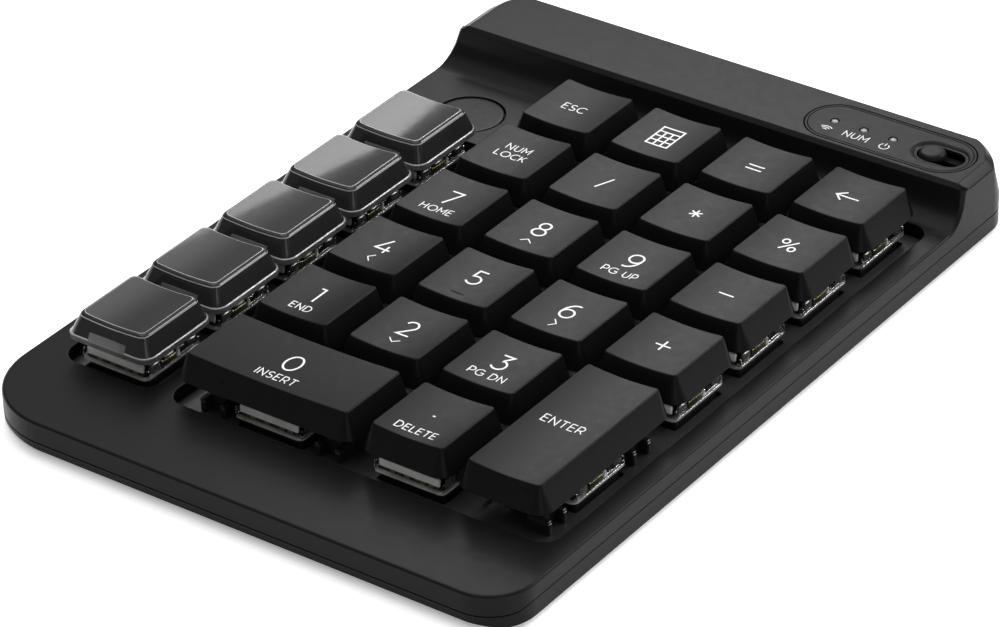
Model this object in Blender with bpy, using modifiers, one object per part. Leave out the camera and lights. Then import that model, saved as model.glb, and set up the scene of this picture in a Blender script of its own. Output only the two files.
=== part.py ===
"""Wireless numeric keypad: 22 black keys and a column of 5 clear macro keys on a thin two-piece case,
with a raised bar along the back that holds two cells, three indicators and the power slider.
Units are metres, +Z up, origin on the table plane under the middle of the case, +Y towards the bar."""
import math

import bmesh
import bpy
from mathutils import Matrix, Vector

# Key grid
KEY_PITCH = 0.01905
MACRO_KEYS = 5
MACRO_EXTRA_GAP = 0.004
FIRST_COLUMN_X = -0.01665
FIRST_ROW_Y = -0.0495
MACRO_X = FIRST_COLUMN_X - KEY_PITCH - MACRO_EXTRA_GAP

# Keycaps
CAP_SKIRT = 0.018
CAP_TOP_WIDTH = 0.0137
CAP_TOP_DEPTH = 0.0143
CAP_TOP_Z = 0.0156
CAP_SKIRT_Z = 0.01105
CAP_WALL = 0.0011
CAP_CORNER = 0.0012
STEM_SIZE = 0.006
STEM_BOTTOM_Z = 0.0092
STABILISER_REACH = 0.0119
STABILISER_POST = 0.003
STABILISER_POST_Z = 0.0102

# Case
CASE_HALF_WIDTH = 0.0551
CASE_HALF_DEPTH = 0.0774
CASE_RADII = {"front_left": 0.0155, "front_right": 0.0085, "back_right": 0.0095, "back_left": 0.0075}
CASE_WALL = 0.0015
DECK_Z = 0.0073
SEAM_Z = 0.0043
SEAM_GAP = 0.0003
LOWER_EDGE_Z = 0.00125
BASE_Z = 0.0008
BASE_INSET = 0.002
BASE_OVERLAP = 0.0002
RING_FLOOR_Z = 0.003
BOARD_FLOOR_Z = 0.0019
CORNER_STEPS = 6

# Raised bar
BAR_TOP_Z = 0.0144
BAR_ROOF = 0.0011
BAR_FRONT_LEAN = 0.0004
BAR_EDGE_CHAMFER = 0.0006
BAR_END_CHAMFER = 0.0013
SWEEP_START_Y = 0.0544
SWEEP_RADIUS = 0.0056
SWEEP_STEPS = 8

# Key wells in the deck
MACRO_WELL = ((-0.0494, -0.0298), (-0.0592, 0.0362))
BLOCK_WELL = ((-0.0263, 0.0513), (-0.0597, 0.0554))
WELL_RADIUS = 0.002
WELL_STEPS = 3

# Switch plate, switches and circuit board
PLATE_HALF_WIDTH = 0.0512
PLATE_FRONT_Y = -0.061
PLATE_BACK_Y = 0.0566
PLATE_TOP_Z = 0.0054
PLATE_THICKNESS = 0.0012
HOUSING_SIZE = 0.0139
HOUSING_SHOULDER_Z = 0.0086
HOUSING_TOP_SIZE = 0.011
HOUSING_TOP_Z = 0.0107
HOUSING_BOTTOM_Z = 0.0038
STEM_POCKET = 0.0066
STEM_POCKET_Z = 0.0058
STABILISER_BLOCK = Vector((0.0052, 0.0044, 0.0026))
STABILISER_BLOCK_OFFSET = 0.0048
BOARD_HALF_WIDTH = 0.0487
BOARD_FRONT_Y = -0.0605
BOARD_BACK_Y = 0.0562
BOARD_TOP_Z = 0.0035
BOARD_THICKNESS = 0.0012
BOARD_CLEARANCE = 0.0005

# Stabiliser wires
WIRE_RADIUS = 0.0004
WIRE_PIVOT_OFFSET = 0.0078
WIRE_PIVOT_Z = 0.0073
WIRE_TIP_Z = 0.0094
WIRE_TIP_OFFSET = -0.0003
WIRE_TIP_LENGTH = 0.001

# Control panel on the bar
PANEL_X = 0.035
PANEL_Y = 0.0681
PANEL_LENGTH = 0.0334
PANEL_WIDTH = 0.0119
PANEL_RECESS = 0.0007
PANEL_THICKNESS = 0.0004
PANEL_GAP = 0.0002
INDICATOR_FIRST_X = 0.0235
INDICATOR_PITCH = 0.00605
INDICATORS = 3
INDICATOR_RADIUS = 0.00065
INDICATOR_HOLE_RADIUS = 0.00095
INDICATOR_BOTTOM_Z = 0.0133
SLOT_X = 0.0455
SLOT_TRAVEL = 0.0036
SLOT_RADIUS = 0.0029
KNOB_RADIUS = 0.0022
KNOB_TOP_Z = 0.0148
KNOB_BOTTOM_Z = 0.0129
SWITCH_BODY = Vector((0.0084, 0.005, 0.0034))
SWITCH_BODY_TOP_Z = 0.0126
NUB_HALF = 0.0006
NUB_DEPTH = 0.0016
NUB_CLEARANCE = 0.0004
INDICATOR_BOARD = Vector((0.0165, 0.004, 0.0003))
INDICATOR_BOARD_Z = 0.01285

# Badge
BADGE_Y = 0.0445
BADGE_RADIUS = 0.0063
BADGE_RECESS_RADIUS = 0.0066
BADGE_THICKNESS = 0.0005
BADGE_RECESS = 0.0008

# Batteries, contacts and door
CELL_RADIUS = 0.00525
CELL_LENGTH = 0.0435
CELL_NUB = 0.0008
CELL_NUB_RADIUS = 0.0019
CELL_Y = 0.0683
CELL_Z = 0.0073
CELL_FIRST_X = -0.0497
CELL_PITCH = 0.0449
CONTACT_SIZE = Vector((0.0004, 0.008, 0.0075))
CONTACT_SPRING_REACH = 0.0022
CONTACT_PAD = 0.0025
CONTACT_GAP = 0.0003
DOOR_X = (-0.0512, 0.0415)
DOOR_Y = (0.0619, 0.0772)
DOOR_RADII = (0.001, 0.001, 0.002, 0.0065)
DOOR_THICKNESS = 0.0009
DOOR_OPENING_X = (-0.0502, 0.0405)
DOOR_OPENING_Y = (0.0628, 0.0738)

# Screws and feet
SCREW_X = 0.045
SCREW_ROWS = {"front": -0.0691, "rear": 0.0592}
SCREW_HEAD_RADIUS = 0.0019
SCREW_HEAD_HEIGHT = 0.0008
SCREW_SHANK_RADIUS = 0.0008
SCREW_HEAD_Z = 0.00095
SCREW_TIP_Z = 0.0061
COUNTERBORE_RADIUS = 0.0022
COUNTERBORE_TOP_Z = 0.002
BOSS_RADIUS = 0.002
BOSS_BOTTOM_Z = 0.0033
BOSS_TOPS = {"front": 0.0065, "rear": 0.0082}
BOSS_HOLE_RADIUS = 0.0011
FOOT_LENGTH = 0.012
FOOT_WIDTH = 0.005
FOOT_X = 0.0345
FOOT_ROWS = {"front": -0.069, "rear": 0.0545}
FOOT_HEIGHT = 0.001
FOOT_RECESS_Z = 0.0013
FOOT_CLEARANCE = 0.0003

CUT_MARGIN = 0.002
ROUND_STEPS = 32
WELD = 0.000001
SHARP_ANGLE = math.radians(35)

KEY_NAMES = {
    (0, 5): "key_escape", (1, 5): "key_calculator", (2, 5): "key_equals", (3, 5): "key_backspace",
    (0, 4): "key_num_lock", (1, 4): "key_divide", (2, 4): "key_multiply", (3, 4): "key_percent",
    (0, 3): "key_7", (1, 3): "key_8", (2, 3): "key_9", (3, 3): "key_minus",
    (0, 2): "key_4", (1, 2): "key_5", (2, 2): "key_6", (3, 2): "key_plus",
    (0, 1): "key_1", (1, 1): "key_2", (2, 1): "key_3",
    (2, 0): "key_decimal",
}


def clear_scene():
    for obj in list(bpy.data.objects):
        bpy.data.objects.remove(obj, do_unlink=True)


def new_collection(name):
    collection = bpy.data.collections.new(name)
    bpy.context.scene.collection.children.link(collection)
    return collection


clear_scene()
PARTS = new_collection("numeric_keypad")
HELPERS = new_collection("cutters")
ROOT = bpy.data.objects.new("keypad_origin", None)
PARTS.objects.link(ROOT)


def material(name, color, roughness, metallic=0.0, alpha=1.0, transmission=0.0):
    made = bpy.data.materials.new(name)
    made.use_nodes = True
    shader = made.node_tree.nodes["Principled BSDF"]
    shader.inputs["Base Color"].default_value = (*color, 1.0)
    shader.inputs["Roughness"].default_value = roughness
    shader.inputs["Metallic"].default_value = metallic
    shader.inputs["Alpha"].default_value = alpha
    shader.inputs["Transmission Weight"].default_value = transmission
    made.diffuse_color = (*color, alpha)
    return made


CASE_BLACK = material("case_black", (0.018, 0.018, 0.019), 0.45)
CAP_BLACK = material("keycap_black", (0.022, 0.022, 0.023), 0.5)
CAP_CLEAR = material("keycap_clear", (0.8, 0.82, 0.82), 0.06, transmission=1.0)
PLATE_GREY = material("plate_grey", (0.07, 0.07, 0.072), 0.5, metallic=0.6)
BOARD_GREEN = material("board_green", (0.01, 0.05, 0.03), 0.5)
PANEL_BLACK = material("panel_black", (0.015, 0.015, 0.016), 0.35)
LIGHT_PIPE = material("light_pipe", (0.6, 0.6, 0.6), 0.2)
STEEL = material("steel", (0.55, 0.55, 0.55), 0.3, metallic=1.0)
RUBBER = material("rubber", (0.02, 0.02, 0.02), 0.8)
CELL_WRAP = material("cell_wrap", (0.05, 0.12, 0.2), 0.4)


def place(obj, made_of, location=(0.0, 0.0, 0.0)):
    """Puts the object among the parts, or among the helpers when it has no material."""
    obj.location = location
    if made_of is None:
        HELPERS.objects.link(obj)
        obj.hide_render = True
        obj.display_type = "WIRE"
    else:
        if made_of.name not in obj.data.materials:
            obj.data.materials.append(made_of)
        PARTS.objects.link(obj)
        obj.parent = ROOT
    return obj


def solid_object(name, bm, made_of, location=(0.0, 0.0, 0.0)):
    bmesh.ops.recalc_face_normals(bm, faces=bm.faces)
    mesh = bpy.data.meshes.new(name)
    bm.to_mesh(mesh)
    bm.free()
    mesh.shade_smooth()
    mesh.set_sharp_from_angle(angle=SHARP_ANGLE)
    return place(bpy.data.objects.new(name, mesh), made_of, location)


def add_box(bm, low, high):
    low = Vector(low)
    high = Vector(high)
    size = high - low
    made = bmesh.ops.create_cube(bm, size=1.0, matrix=Matrix.LocRotScale((low + high) / 2, None, size))
    return made["verts"]


def add_cylinder(bm, center, radius, bottom, top, steps=ROUND_STEPS):
    middle = Matrix.Translation((center[0], center[1], (bottom + top) / 2))
    bmesh.ops.create_cone(
        bm, cap_ends=True, segments=steps, radius1=radius, radius2=radius, depth=top - bottom, matrix=middle
    )


def box_object(name, low, high, made_of=None):
    bm = bmesh.new()
    add_box(bm, low, high)
    return solid_object(name, bm, made_of)


def outline_curve(name, outlines, thickness):
    """A filled 2D curve through each closed outline, with its thickness centred on its plane."""
    curve = bpy.data.curves.new(name, "CURVE")
    curve.dimensions = "2D"
    curve.fill_mode = "BOTH"
    curve.extrude = thickness / 2
    for outline in outlines:
        spline = curve.splines.new("POLY")
        spline.points.add(len(outline) - 1)
        for point, (x, y) in zip(spline.points, outline):
            point.co = (x, y, 0.0, 1.0)
        spline.use_cyclic_u = True
    return bpy.data.objects.new(name + "_outline", curve)


def mesh_of_curve(guide, name, made_of):
    """The curve object as a welded mesh object in the same place; the curve itself is removed."""
    HELPERS.objects.link(guide)
    bpy.context.view_layer.update()
    evaluated = guide.evaluated_get(bpy.context.evaluated_depsgraph_get())
    mesh = bpy.data.meshes.new_from_object(evaluated)
    mesh.name = name
    mesh.transform(guide.matrix_world)
    bpy.data.objects.remove(guide, do_unlink=True)
    bm = bmesh.new()
    bm.from_mesh(mesh)
    bpy.data.meshes.remove(mesh)
    bmesh.ops.remove_doubles(bm, verts=bm.verts, dist=WELD)
    return solid_object(name, bm, made_of)


def flat_object(name, outlines, bottom, top, made_of=None):
    guide = outline_curve(name, outlines, top - bottom)
    guide.location.z = (bottom + top) / 2
    return mesh_of_curve(guide, name, made_of)


def side_object(name, profile, half_width, made_of=None):
    """A (y, z) profile carried along X to both sides of the middle."""
    guide = outline_curve(name, [profile], 2 * half_width)
    guide.rotation_euler = (math.radians(90), 0.0, math.radians(90))
    return mesh_of_curve(guide, name, made_of)


def turned_object(name, profile, made_of, location, rotation=(0.0, 0.0, 0.0), steps=ROUND_STEPS):
    """A (radius, height) profile, listed from the top down, turned about Z."""
    mesh = bpy.data.meshes.new(name)
    edges = [(index, index + 1) for index in range(len(profile) - 1)]
    mesh.from_pydata([(radius, 0.0, height) for radius, height in profile], edges, [])
    obj = place(bpy.data.objects.new(name, mesh), made_of, location)
    obj.rotation_euler = rotation
    turn = obj.modifiers.new("turn", "SCREW")
    turn.steps = steps
    turn.render_steps = steps
    turn.use_merge_vertices = True
    turn.merge_threshold = WELD
    return obj


def combine(target, operand, operation):
    modifier = target.modifiers.new(operation.lower() + "_" + operand.name, "BOOLEAN")
    modifier.operation = operation
    modifier.solver = "EXACT"
    modifier.object = operand


def arc(center, radius, start, end, steps):
    """Points on a circle, from the start angle to the end angle in degrees."""
    points = []
    for step in range(steps + 1):
        angle = math.radians(start + (end - start) * step / steps)
        points.append((center[0] + radius * math.cos(angle), center[1] + radius * math.sin(angle)))
    return points


def circle(center, radius, steps=ROUND_STEPS):
    return arc(center, radius, 0, 360, steps)[:-1]


def rectangle(x, y):
    return [(x[0], y[0]), (x[1], y[0]), (x[1], y[1]), (x[0], y[1])]


def rounded_rectangle(x, y, radii, steps):
    """x and y are (low, high); radii run front_left, front_right, back_right, back_left."""
    front_left, front_right, back_right, back_left = radii
    points = arc((x[0] + front_left, y[0] + front_left), front_left, 180, 270, steps)
    points += arc((x[1] - front_right, y[0] + front_right), front_right, 270, 360, steps)
    points += arc((x[1] - back_right, y[1] - back_right), back_right, 0, 90, steps)
    points += arc((x[0] + back_left, y[1] - back_left), back_left, 90, 180, steps)
    return points


def case_outline(inset=0.0):
    width = CASE_HALF_WIDTH - inset
    depth = CASE_HALF_DEPTH - inset
    corners = ("front_left", "front_right", "back_right", "back_left")
    radii = [CASE_RADII[corner] - inset for corner in corners]
    return rounded_rectangle((-width, width), (-depth, depth), radii, CORNER_STEPS)


def stadium(center, length, width, steps=12):
    """A slot outline along X with round ends."""
    radius = width / 2
    reach = length / 2 - radius
    points = arc((center[0] + reach, center[1]), radius, -90, 90, steps)
    points += arc((center[0] - reach, center[1]), radius, 90, 270, steps)
    return points


def column_x(column):
    return FIRST_COLUMN_X + column * KEY_PITCH


def row_y(row):
    return FIRST_ROW_Y + row * KEY_PITCH


def key_places():
    """(name, x, y, width in keys, depth in keys, is a macro key) of every key."""
    places = []
    for (column, row), name in KEY_NAMES.items():
        places.append((name, column_x(column), row_y(row), 1, 1, False))
    places.append(("key_0", column_x(0.5), row_y(0), 2, 1, False))
    places.append(("key_enter", column_x(3), row_y(0.5), 1, 2, False))
    for row in range(MACRO_KEYS):
        places.append((f"key_macro_{row + 1}", MACRO_X, row_y(row), 1, 1, True))
    return places


def side_profile(inset, deck_z, roof_z, bottom_z, chamfer):
    """(y, z) outline of the case seen from its side: flat deck, hollow sweep, raised bar."""
    back = CASE_HALF_DEPTH - inset
    sweep_center = (SWEEP_START_Y, DECK_Z + SWEEP_RADIUS)
    radius = sweep_center[1] - deck_z
    points = [(-back, bottom_z), (-back, deck_z)]
    points += arc(sweep_center, radius, -90, 0, SWEEP_STEPS)
    front = SWEEP_START_Y + radius + BAR_FRONT_LEAN
    if chamfer:
        points += [(front, roof_z - chamfer), (front + chamfer, roof_z)]
        points += [(back - chamfer, roof_z), (back, roof_z - chamfer)]
    else:
        points += [(front, roof_z), (back, roof_z)]
    points.append((back, bottom_z))
    return points


def well_outlines():
    return [rounded_rectangle(x, y, [WELL_RADIUS] * 4, WELL_STEPS) for x, y in (MACRO_WELL, BLOCK_WELL)]


def screw_places():
    return [
        (f"screw_{row}_{side}", sign * SCREW_X, y, row)
        for row, y in SCREW_ROWS.items()
        for side, sign in (("left", -1), ("right", 1))
    ]


def chamfered_envelope():
    """The case outline as a solid whose top edge is chamfered where the bar ends."""
    envelope = flat_object("case_envelope", [case_outline()], SEAM_Z, BAR_TOP_Z)
    bm = bmesh.new()
    bm.from_mesh(envelope.data)
    rim = [edge for edge in bm.edges if min(vert.co.z for vert in edge.verts) > BAR_TOP_Z - WELD]
    rim = [edge for edge in rim if edge.calc_face_angle(0.0) > SHARP_ANGLE]
    bmesh.ops.bevel(bm, geom=rim, offset=BAR_END_CHAMFER, segments=1, affect="EDGES")
    bm.to_mesh(envelope.data)
    bm.free()
    return envelope


def make_top_case():
    profile = side_profile(0.0, DECK_Z, BAR_TOP_Z, SEAM_Z, BAR_EDGE_CHAMFER)
    case = side_object("top_case", profile, CASE_HALF_WIDTH + CUT_MARGIN, CASE_BLACK)
    combine(case, chamfered_envelope(), "INTERSECT")
    inner_profile = side_profile(
        CASE_WALL, DECK_Z - CASE_WALL, BAR_TOP_Z - BAR_ROOF, SEAM_Z - CUT_MARGIN, 0.0
    )
    hollow = side_object("top_case_hollow", inner_profile, CASE_HALF_WIDTH - CASE_WALL / 2)
    bounds = flat_object("top_case_hollow_bounds", [case_outline(CASE_WALL)], 0.0, BAR_TOP_Z)
    combine(hollow, bounds, "INTERSECT")
    combine(case, hollow, "DIFFERENCE")
    combine(case, make_bosses(), "UNION")
    combine(case, make_boss_holes(), "DIFFERENCE")
    wells = flat_object("key_wells", well_outlines(), DECK_Z - CASE_WALL - CUT_MARGIN, DECK_Z + CUT_MARGIN)
    combine(case, wells, "DIFFERENCE")
    badge_seat = [circle((MACRO_X, BADGE_Y), BADGE_RECESS_RADIUS)]
    seat = flat_object("badge_seat", badge_seat, DECK_Z - BADGE_RECESS, DECK_Z + CUT_MARGIN)
    combine(case, seat, "DIFFERENCE")
    panel_seat = stadium((PANEL_X, PANEL_Y), PANEL_LENGTH, PANEL_WIDTH)
    seat = flat_object("panel_seat", [panel_seat], BAR_TOP_Z - PANEL_RECESS, BAR_TOP_Z + CUT_MARGIN)
    combine(case, seat, "DIFFERENCE")
    combine(case, make_panel_holes("bar_roof_holes"), "DIFFERENCE")


def make_bosses():
    bm = bmesh.new()
    for _, x, y, row in screw_places():
        add_cylinder(bm, (x, y), BOSS_RADIUS, BOSS_BOTTOM_Z, BOSS_TOPS[row], 16)
    return solid_object("screw_bosses", bm, None)


def make_boss_holes():
    bm = bmesh.new()
    for _, x, y, _ in screw_places():
        add_cylinder(bm, (x, y), BOSS_HOLE_RADIUS, BOSS_BOTTOM_Z - CUT_MARGIN, SCREW_TIP_Z + 0.0003, 16)
    return solid_object("screw_boss_holes", bm, None)


def make_panel_holes(name):
    """Openings for the indicators and the slider, through the panel and the bar's roof."""
    holes = [
        circle((INDICATOR_FIRST_X + index * INDICATOR_PITCH, PANEL_Y), INDICATOR_HOLE_RADIUS, 16)
        for index in range(INDICATORS)
    ]
    holes.append(stadium((SLOT_X, PANEL_Y), SLOT_TRAVEL + 2 * SLOT_RADIUS, 2 * SLOT_RADIUS))
    return flat_object(name, holes, BAR_TOP_Z - BAR_ROOF - CUT_MARGIN, BAR_TOP_Z + CUT_MARGIN)


def make_bottom_case():
    """A tray with a lower base pad, a deeper floor under the board, and an open battery bay."""
    rim_z = SEAM_Z - SEAM_GAP
    case = flat_object("bottom_case", [case_outline()], LOWER_EDGE_Z, rim_z, CASE_BLACK)
    pad = flat_object("base_pad", [case_outline(BASE_INSET)], BASE_Z, LOWER_EDGE_Z + BASE_OVERLAP)
    combine(case, pad, "UNION")
    combine(case, flat_object("tray_hollow", [case_outline(CASE_WALL)], RING_FLOOR_Z, SEAM_Z), "DIFFERENCE")
    half_board = BOARD_HALF_WIDTH + BOARD_CLEARANCE
    board_y = (BOARD_FRONT_Y - BOARD_CLEARANCE, BOARD_BACK_Y + BOARD_CLEARANCE)
    board_area = [rectangle((-half_board, half_board), board_y)]
    combine(case, flat_object("board_hollow", board_area, BOARD_FLOOR_Z, SEAM_Z), "DIFFERENCE")
    bay = rectangle(DOOR_OPENING_X, DOOR_OPENING_Y)
    combine(case, flat_object("bay_opening", [bay], BASE_Z - CUT_MARGIN, SEAM_Z), "DIFFERENCE")
    door_x = (DOOR_X[0] - SEAM_GAP, DOOR_X[1] + SEAM_GAP)
    door_y = (DOOR_Y[0] - SEAM_GAP, CASE_HALF_DEPTH + CUT_MARGIN)
    door_top = BASE_Z + DOOR_THICKNESS + SEAM_GAP
    door_recess = flat_object("door_recess", [rectangle(door_x, door_y)], BASE_Z - CUT_MARGIN, door_top)
    combine(case, door_recess, "DIFFERENCE")
    heads = [circle((x, y), COUNTERBORE_RADIUS, 16) for _, x, y, _ in screw_places()]
    combine(case, flat_object("counterbores", heads, BASE_Z - CUT_MARGIN, COUNTERBORE_TOP_Z), "DIFFERENCE")
    shanks = [circle((x, y), BOSS_HOLE_RADIUS, 16) for _, x, y, _ in screw_places()]
    combine(case, flat_object("shank_holes", shanks, BASE_Z, SEAM_Z), "DIFFERENCE")
    length = FOOT_LENGTH + 2 * FOOT_CLEARANCE
    width = FOOT_WIDTH + 2 * FOOT_CLEARANCE
    seats = [stadium((x, y), length, width, 6) for _, x, y in foot_places()]
    combine(case, flat_object("foot_seats", seats, BASE_Z - CUT_MARGIN, FOOT_RECESS_Z), "DIFFERENCE")


def foot_places():
    return [
        (f"foot_{row}_{side}", sign * FOOT_X, y)
        for row, y in FOOT_ROWS.items()
        for side, sign in (("left", -1), ("right", 1))
    ]


def make_feet():
    for name, x, y in foot_places():
        flat_object(name, [stadium((x, y), FOOT_LENGTH, FOOT_WIDTH, 6)], 0.0, FOOT_HEIGHT, RUBBER)


def make_screws():
    shank = SCREW_TIP_Z - SCREW_HEAD_Z
    profile = [
        (0.0, shank),
        (SCREW_SHANK_RADIUS, shank),
        (SCREW_SHANK_RADIUS, SCREW_HEAD_HEIGHT),
        (SCREW_HEAD_RADIUS, SCREW_HEAD_HEIGHT),
        (SCREW_HEAD_RADIUS, 0.0),
        (0.0, 0.0),
    ]
    for name, x, y, _ in screw_places():
        turned_object(name, profile, STEEL, (x, y, SCREW_HEAD_Z), steps=16)


def keycap_shell(half_width, half_depth):
    """A tapered box, open below, that a Solidify makes into a wall and a roof of one thickness."""
    bm = bmesh.new()
    verts = add_box(bm, (-half_width, -half_depth, CAP_SKIRT_Z), (half_width, half_depth, CAP_TOP_Z))
    taper_x = (CAP_SKIRT - CAP_TOP_WIDTH) / 2
    taper_y = (CAP_SKIRT - CAP_TOP_DEPTH) / 2
    for vert in verts:
        if vert.co.z > (CAP_SKIRT_Z + CAP_TOP_Z) / 2:
            vert.co.x -= math.copysign(taper_x, vert.co.x)
            vert.co.y -= math.copysign(taper_y, vert.co.y)
    underside = min(bm.faces, key=lambda face: face.calc_center_median().z)
    bmesh.ops.delete(bm, geom=[underside], context="FACES_ONLY")
    uprights = [edge for edge in bm.edges if abs(edge.verts[0].co.z - edge.verts[1].co.z) > WELD]
    bmesh.ops.bevel(bm, geom=uprights, offset=CAP_CORNER, segments=2, profile=0.5, affect="EDGES")
    shell = solid_object("keycap_shell", bm, None)
    wall = shell.modifiers.new("wall", "SOLIDIFY")
    wall.thickness = CAP_WALL
    wall.offset = -1.0
    wall.use_even_offset = True
    return shell


def keycap_mesh(name, wide, deep, made_of):
    """The shell with the switch stem, and any stabiliser posts, standing in the middle of its hollow."""
    half_width = CAP_SKIRT / 2 + (wide - 1) * KEY_PITCH / 2
    half_depth = CAP_SKIRT / 2 + (deep - 1) * KEY_PITCH / 2
    shell = keycap_shell(half_width, half_depth)
    inside_roof = CAP_TOP_Z - CAP_WALL / 2
    bm = bmesh.new()
    half_stem = STEM_SIZE / 2
    add_box(bm, (-half_stem, -half_stem, STEM_BOTTOM_Z), (half_stem, half_stem, inside_roof))
    half_post = STABILISER_POST / 2
    for x, y in stabiliser_points(0.0, 0.0, wide, deep):
        low = (x - half_post, y - half_post, STABILISER_POST_Z)
        add_box(bm, low, (x + half_post, y + half_post, inside_roof))
    combine(shell, solid_object("keycap_stems", bm, None), "UNION")
    bpy.context.view_layer.update()
    evaluated = shell.evaluated_get(bpy.context.evaluated_depsgraph_get())
    mesh = bpy.data.meshes.new_from_object(evaluated)
    mesh.name = name
    mesh.materials.clear()
    mesh.materials.append(made_of)
    return mesh


def make_keycaps():
    """Keys of one size and material share one mesh; each key stands on its own travel axis."""
    meshes = {}
    for name, x, y, wide, deep, macro in key_places():
        kind = (wide, deep, macro)
        if kind not in meshes:
            made_of = CAP_CLEAR if macro else CAP_BLACK
            meshes[kind] = keycap_mesh("keycap", wide, deep, made_of)
        place(bpy.data.objects.new(name, meshes[kind]), meshes[kind].materials[0], (x, y, 0.0))


def stabiliser_points(x, y, wide, deep):
    """Where the two stabiliser posts of a two-unit key stand; none under a one-unit key."""
    if wide > 1:
        return [(x - STABILISER_REACH, y), (x + STABILISER_REACH, y)]
    if deep > 1:
        return [(x, y - STABILISER_REACH), (x, y + STABILISER_REACH)]
    return []


def make_switch_plate():
    """The steel plate with the housings of all switches and stabilisers clipped into it."""
    plate = box_object(
        "switch_plate",
        (-PLATE_HALF_WIDTH, PLATE_FRONT_Y, PLATE_TOP_Z - PLATE_THICKNESS),
        (PLATE_HALF_WIDTH, PLATE_BACK_Y, PLATE_TOP_Z),
        PLATE_GREY,
    )
    bodies = bmesh.new()
    tops = bmesh.new()
    pockets = bmesh.new()
    blocks = bmesh.new()
    for _, x, y, wide, deep, _ in key_places():
        half = HOUSING_SIZE / 2
        add_box(bodies, (x - half, y - half, HOUSING_BOTTOM_Z), (x + half, y + half, HOUSING_SHOULDER_Z))
        half = HOUSING_TOP_SIZE / 2
        add_box(tops, (x - half, y - half, PLATE_TOP_Z), (x + half, y + half, HOUSING_TOP_Z))
        half = STEM_POCKET / 2
        pocket_top = HOUSING_TOP_Z + CUT_MARGIN
        add_box(pockets, (x - half, y - half, STEM_POCKET_Z), (x + half, y + half, pocket_top))
        for block_x, block_y in stabiliser_points(x, y, wide, deep):
            add_stabiliser_block(blocks, block_x, block_y, wide)
    combine(plate, solid_object("switch_bodies", bodies, None), "UNION")
    combine(plate, solid_object("switch_tops", tops, None), "UNION")
    combine(plate, solid_object("stabiliser_blocks", blocks, None), "UNION")
    combine(plate, solid_object("stem_pockets", pockets, None), "DIFFERENCE")


def add_stabiliser_block(bm, x, y, wide):
    """The block stands on the side of the post that is away from the wire's pivot."""
    if wide > 1:
        y -= STABILISER_BLOCK_OFFSET
        half = (STABILISER_BLOCK.x / 2, STABILISER_BLOCK.y / 2)
    else:
        x += STABILISER_BLOCK_OFFSET
        half = (STABILISER_BLOCK.y / 2, STABILISER_BLOCK.x / 2)
    add_box(
        bm,
        (x - half[0], y - half[1], PLATE_TOP_Z - PLATE_THICKNESS / 2),
        (x + half[0], y + half[1], PLATE_TOP_Z + STABILISER_BLOCK.z),
    )


def make_stabiliser_wire(name, x, y, wide):
    """A bent wire: a pivot bar beside the switch, and an arm with a turned-in tip at each end."""
    tip = STABILISER_REACH - WIRE_TIP_LENGTH
    arm = WIRE_TIP_OFFSET - WIRE_PIVOT_OFFSET
    rise = WIRE_TIP_Z - WIRE_PIVOT_Z
    path = [
        (-tip, arm, rise),
        (-STABILISER_REACH, arm, rise),
        (-STABILISER_REACH, 0.0, 0.0),
        (STABILISER_REACH, 0.0, 0.0),
        (STABILISER_REACH, arm, rise),
        (tip, arm, rise),
    ]
    if not wide:
        path = [(-across, along, z) for along, across, z in path]
    curve = bpy.data.curves.new(name, "CURVE")
    curve.dimensions = "3D"
    curve.bevel_depth = WIRE_RADIUS
    curve.bevel_resolution = 2
    curve.use_fill_caps = True
    spline = curve.splines.new("POLY")
    spline.points.add(len(path) - 1)
    for point, (px, py, pz) in zip(spline.points, path):
        point.co = (px, py, pz, 1.0)
    pivot = (x, y + WIRE_PIVOT_OFFSET, WIRE_PIVOT_Z) if wide else (x - WIRE_PIVOT_OFFSET, y, WIRE_PIVOT_Z)
    place(bpy.data.objects.new(name, curve), STEEL, pivot)


def make_circuit_board():
    box_object(
        "circuit_board",
        (-BOARD_HALF_WIDTH, BOARD_FRONT_Y, BOARD_TOP_Z - BOARD_THICKNESS),
        (BOARD_HALF_WIDTH, BOARD_BACK_Y, BOARD_TOP_Z),
        BOARD_GREEN,
    )


def make_control_panel():
    outline = stadium((PANEL_X, PANEL_Y), PANEL_LENGTH - 2 * PANEL_GAP, PANEL_WIDTH - 2 * PANEL_GAP)
    panel = flat_object("control_panel", [outline], BAR_TOP_Z - PANEL_THICKNESS, BAR_TOP_Z, PANEL_BLACK)
    combine(panel, make_panel_holes("panel_holes"), "DIFFERENCE")
    for index in range(INDICATORS):
        outline = circle((INDICATOR_FIRST_X + index * INDICATOR_PITCH, PANEL_Y), INDICATOR_RADIUS, 16)
        flat_object(f"light_pipe_{index + 1}", [outline], INDICATOR_BOTTOM_Z, BAR_TOP_Z, LIGHT_PIPE)
    middle = Vector((INDICATOR_FIRST_X + (INDICATORS - 1) * INDICATOR_PITCH / 2, PANEL_Y, INDICATOR_BOARD_Z))
    half = INDICATOR_BOARD / 2
    box_object("indicator_board", middle - half, middle + half, BOARD_GREEN)


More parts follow.
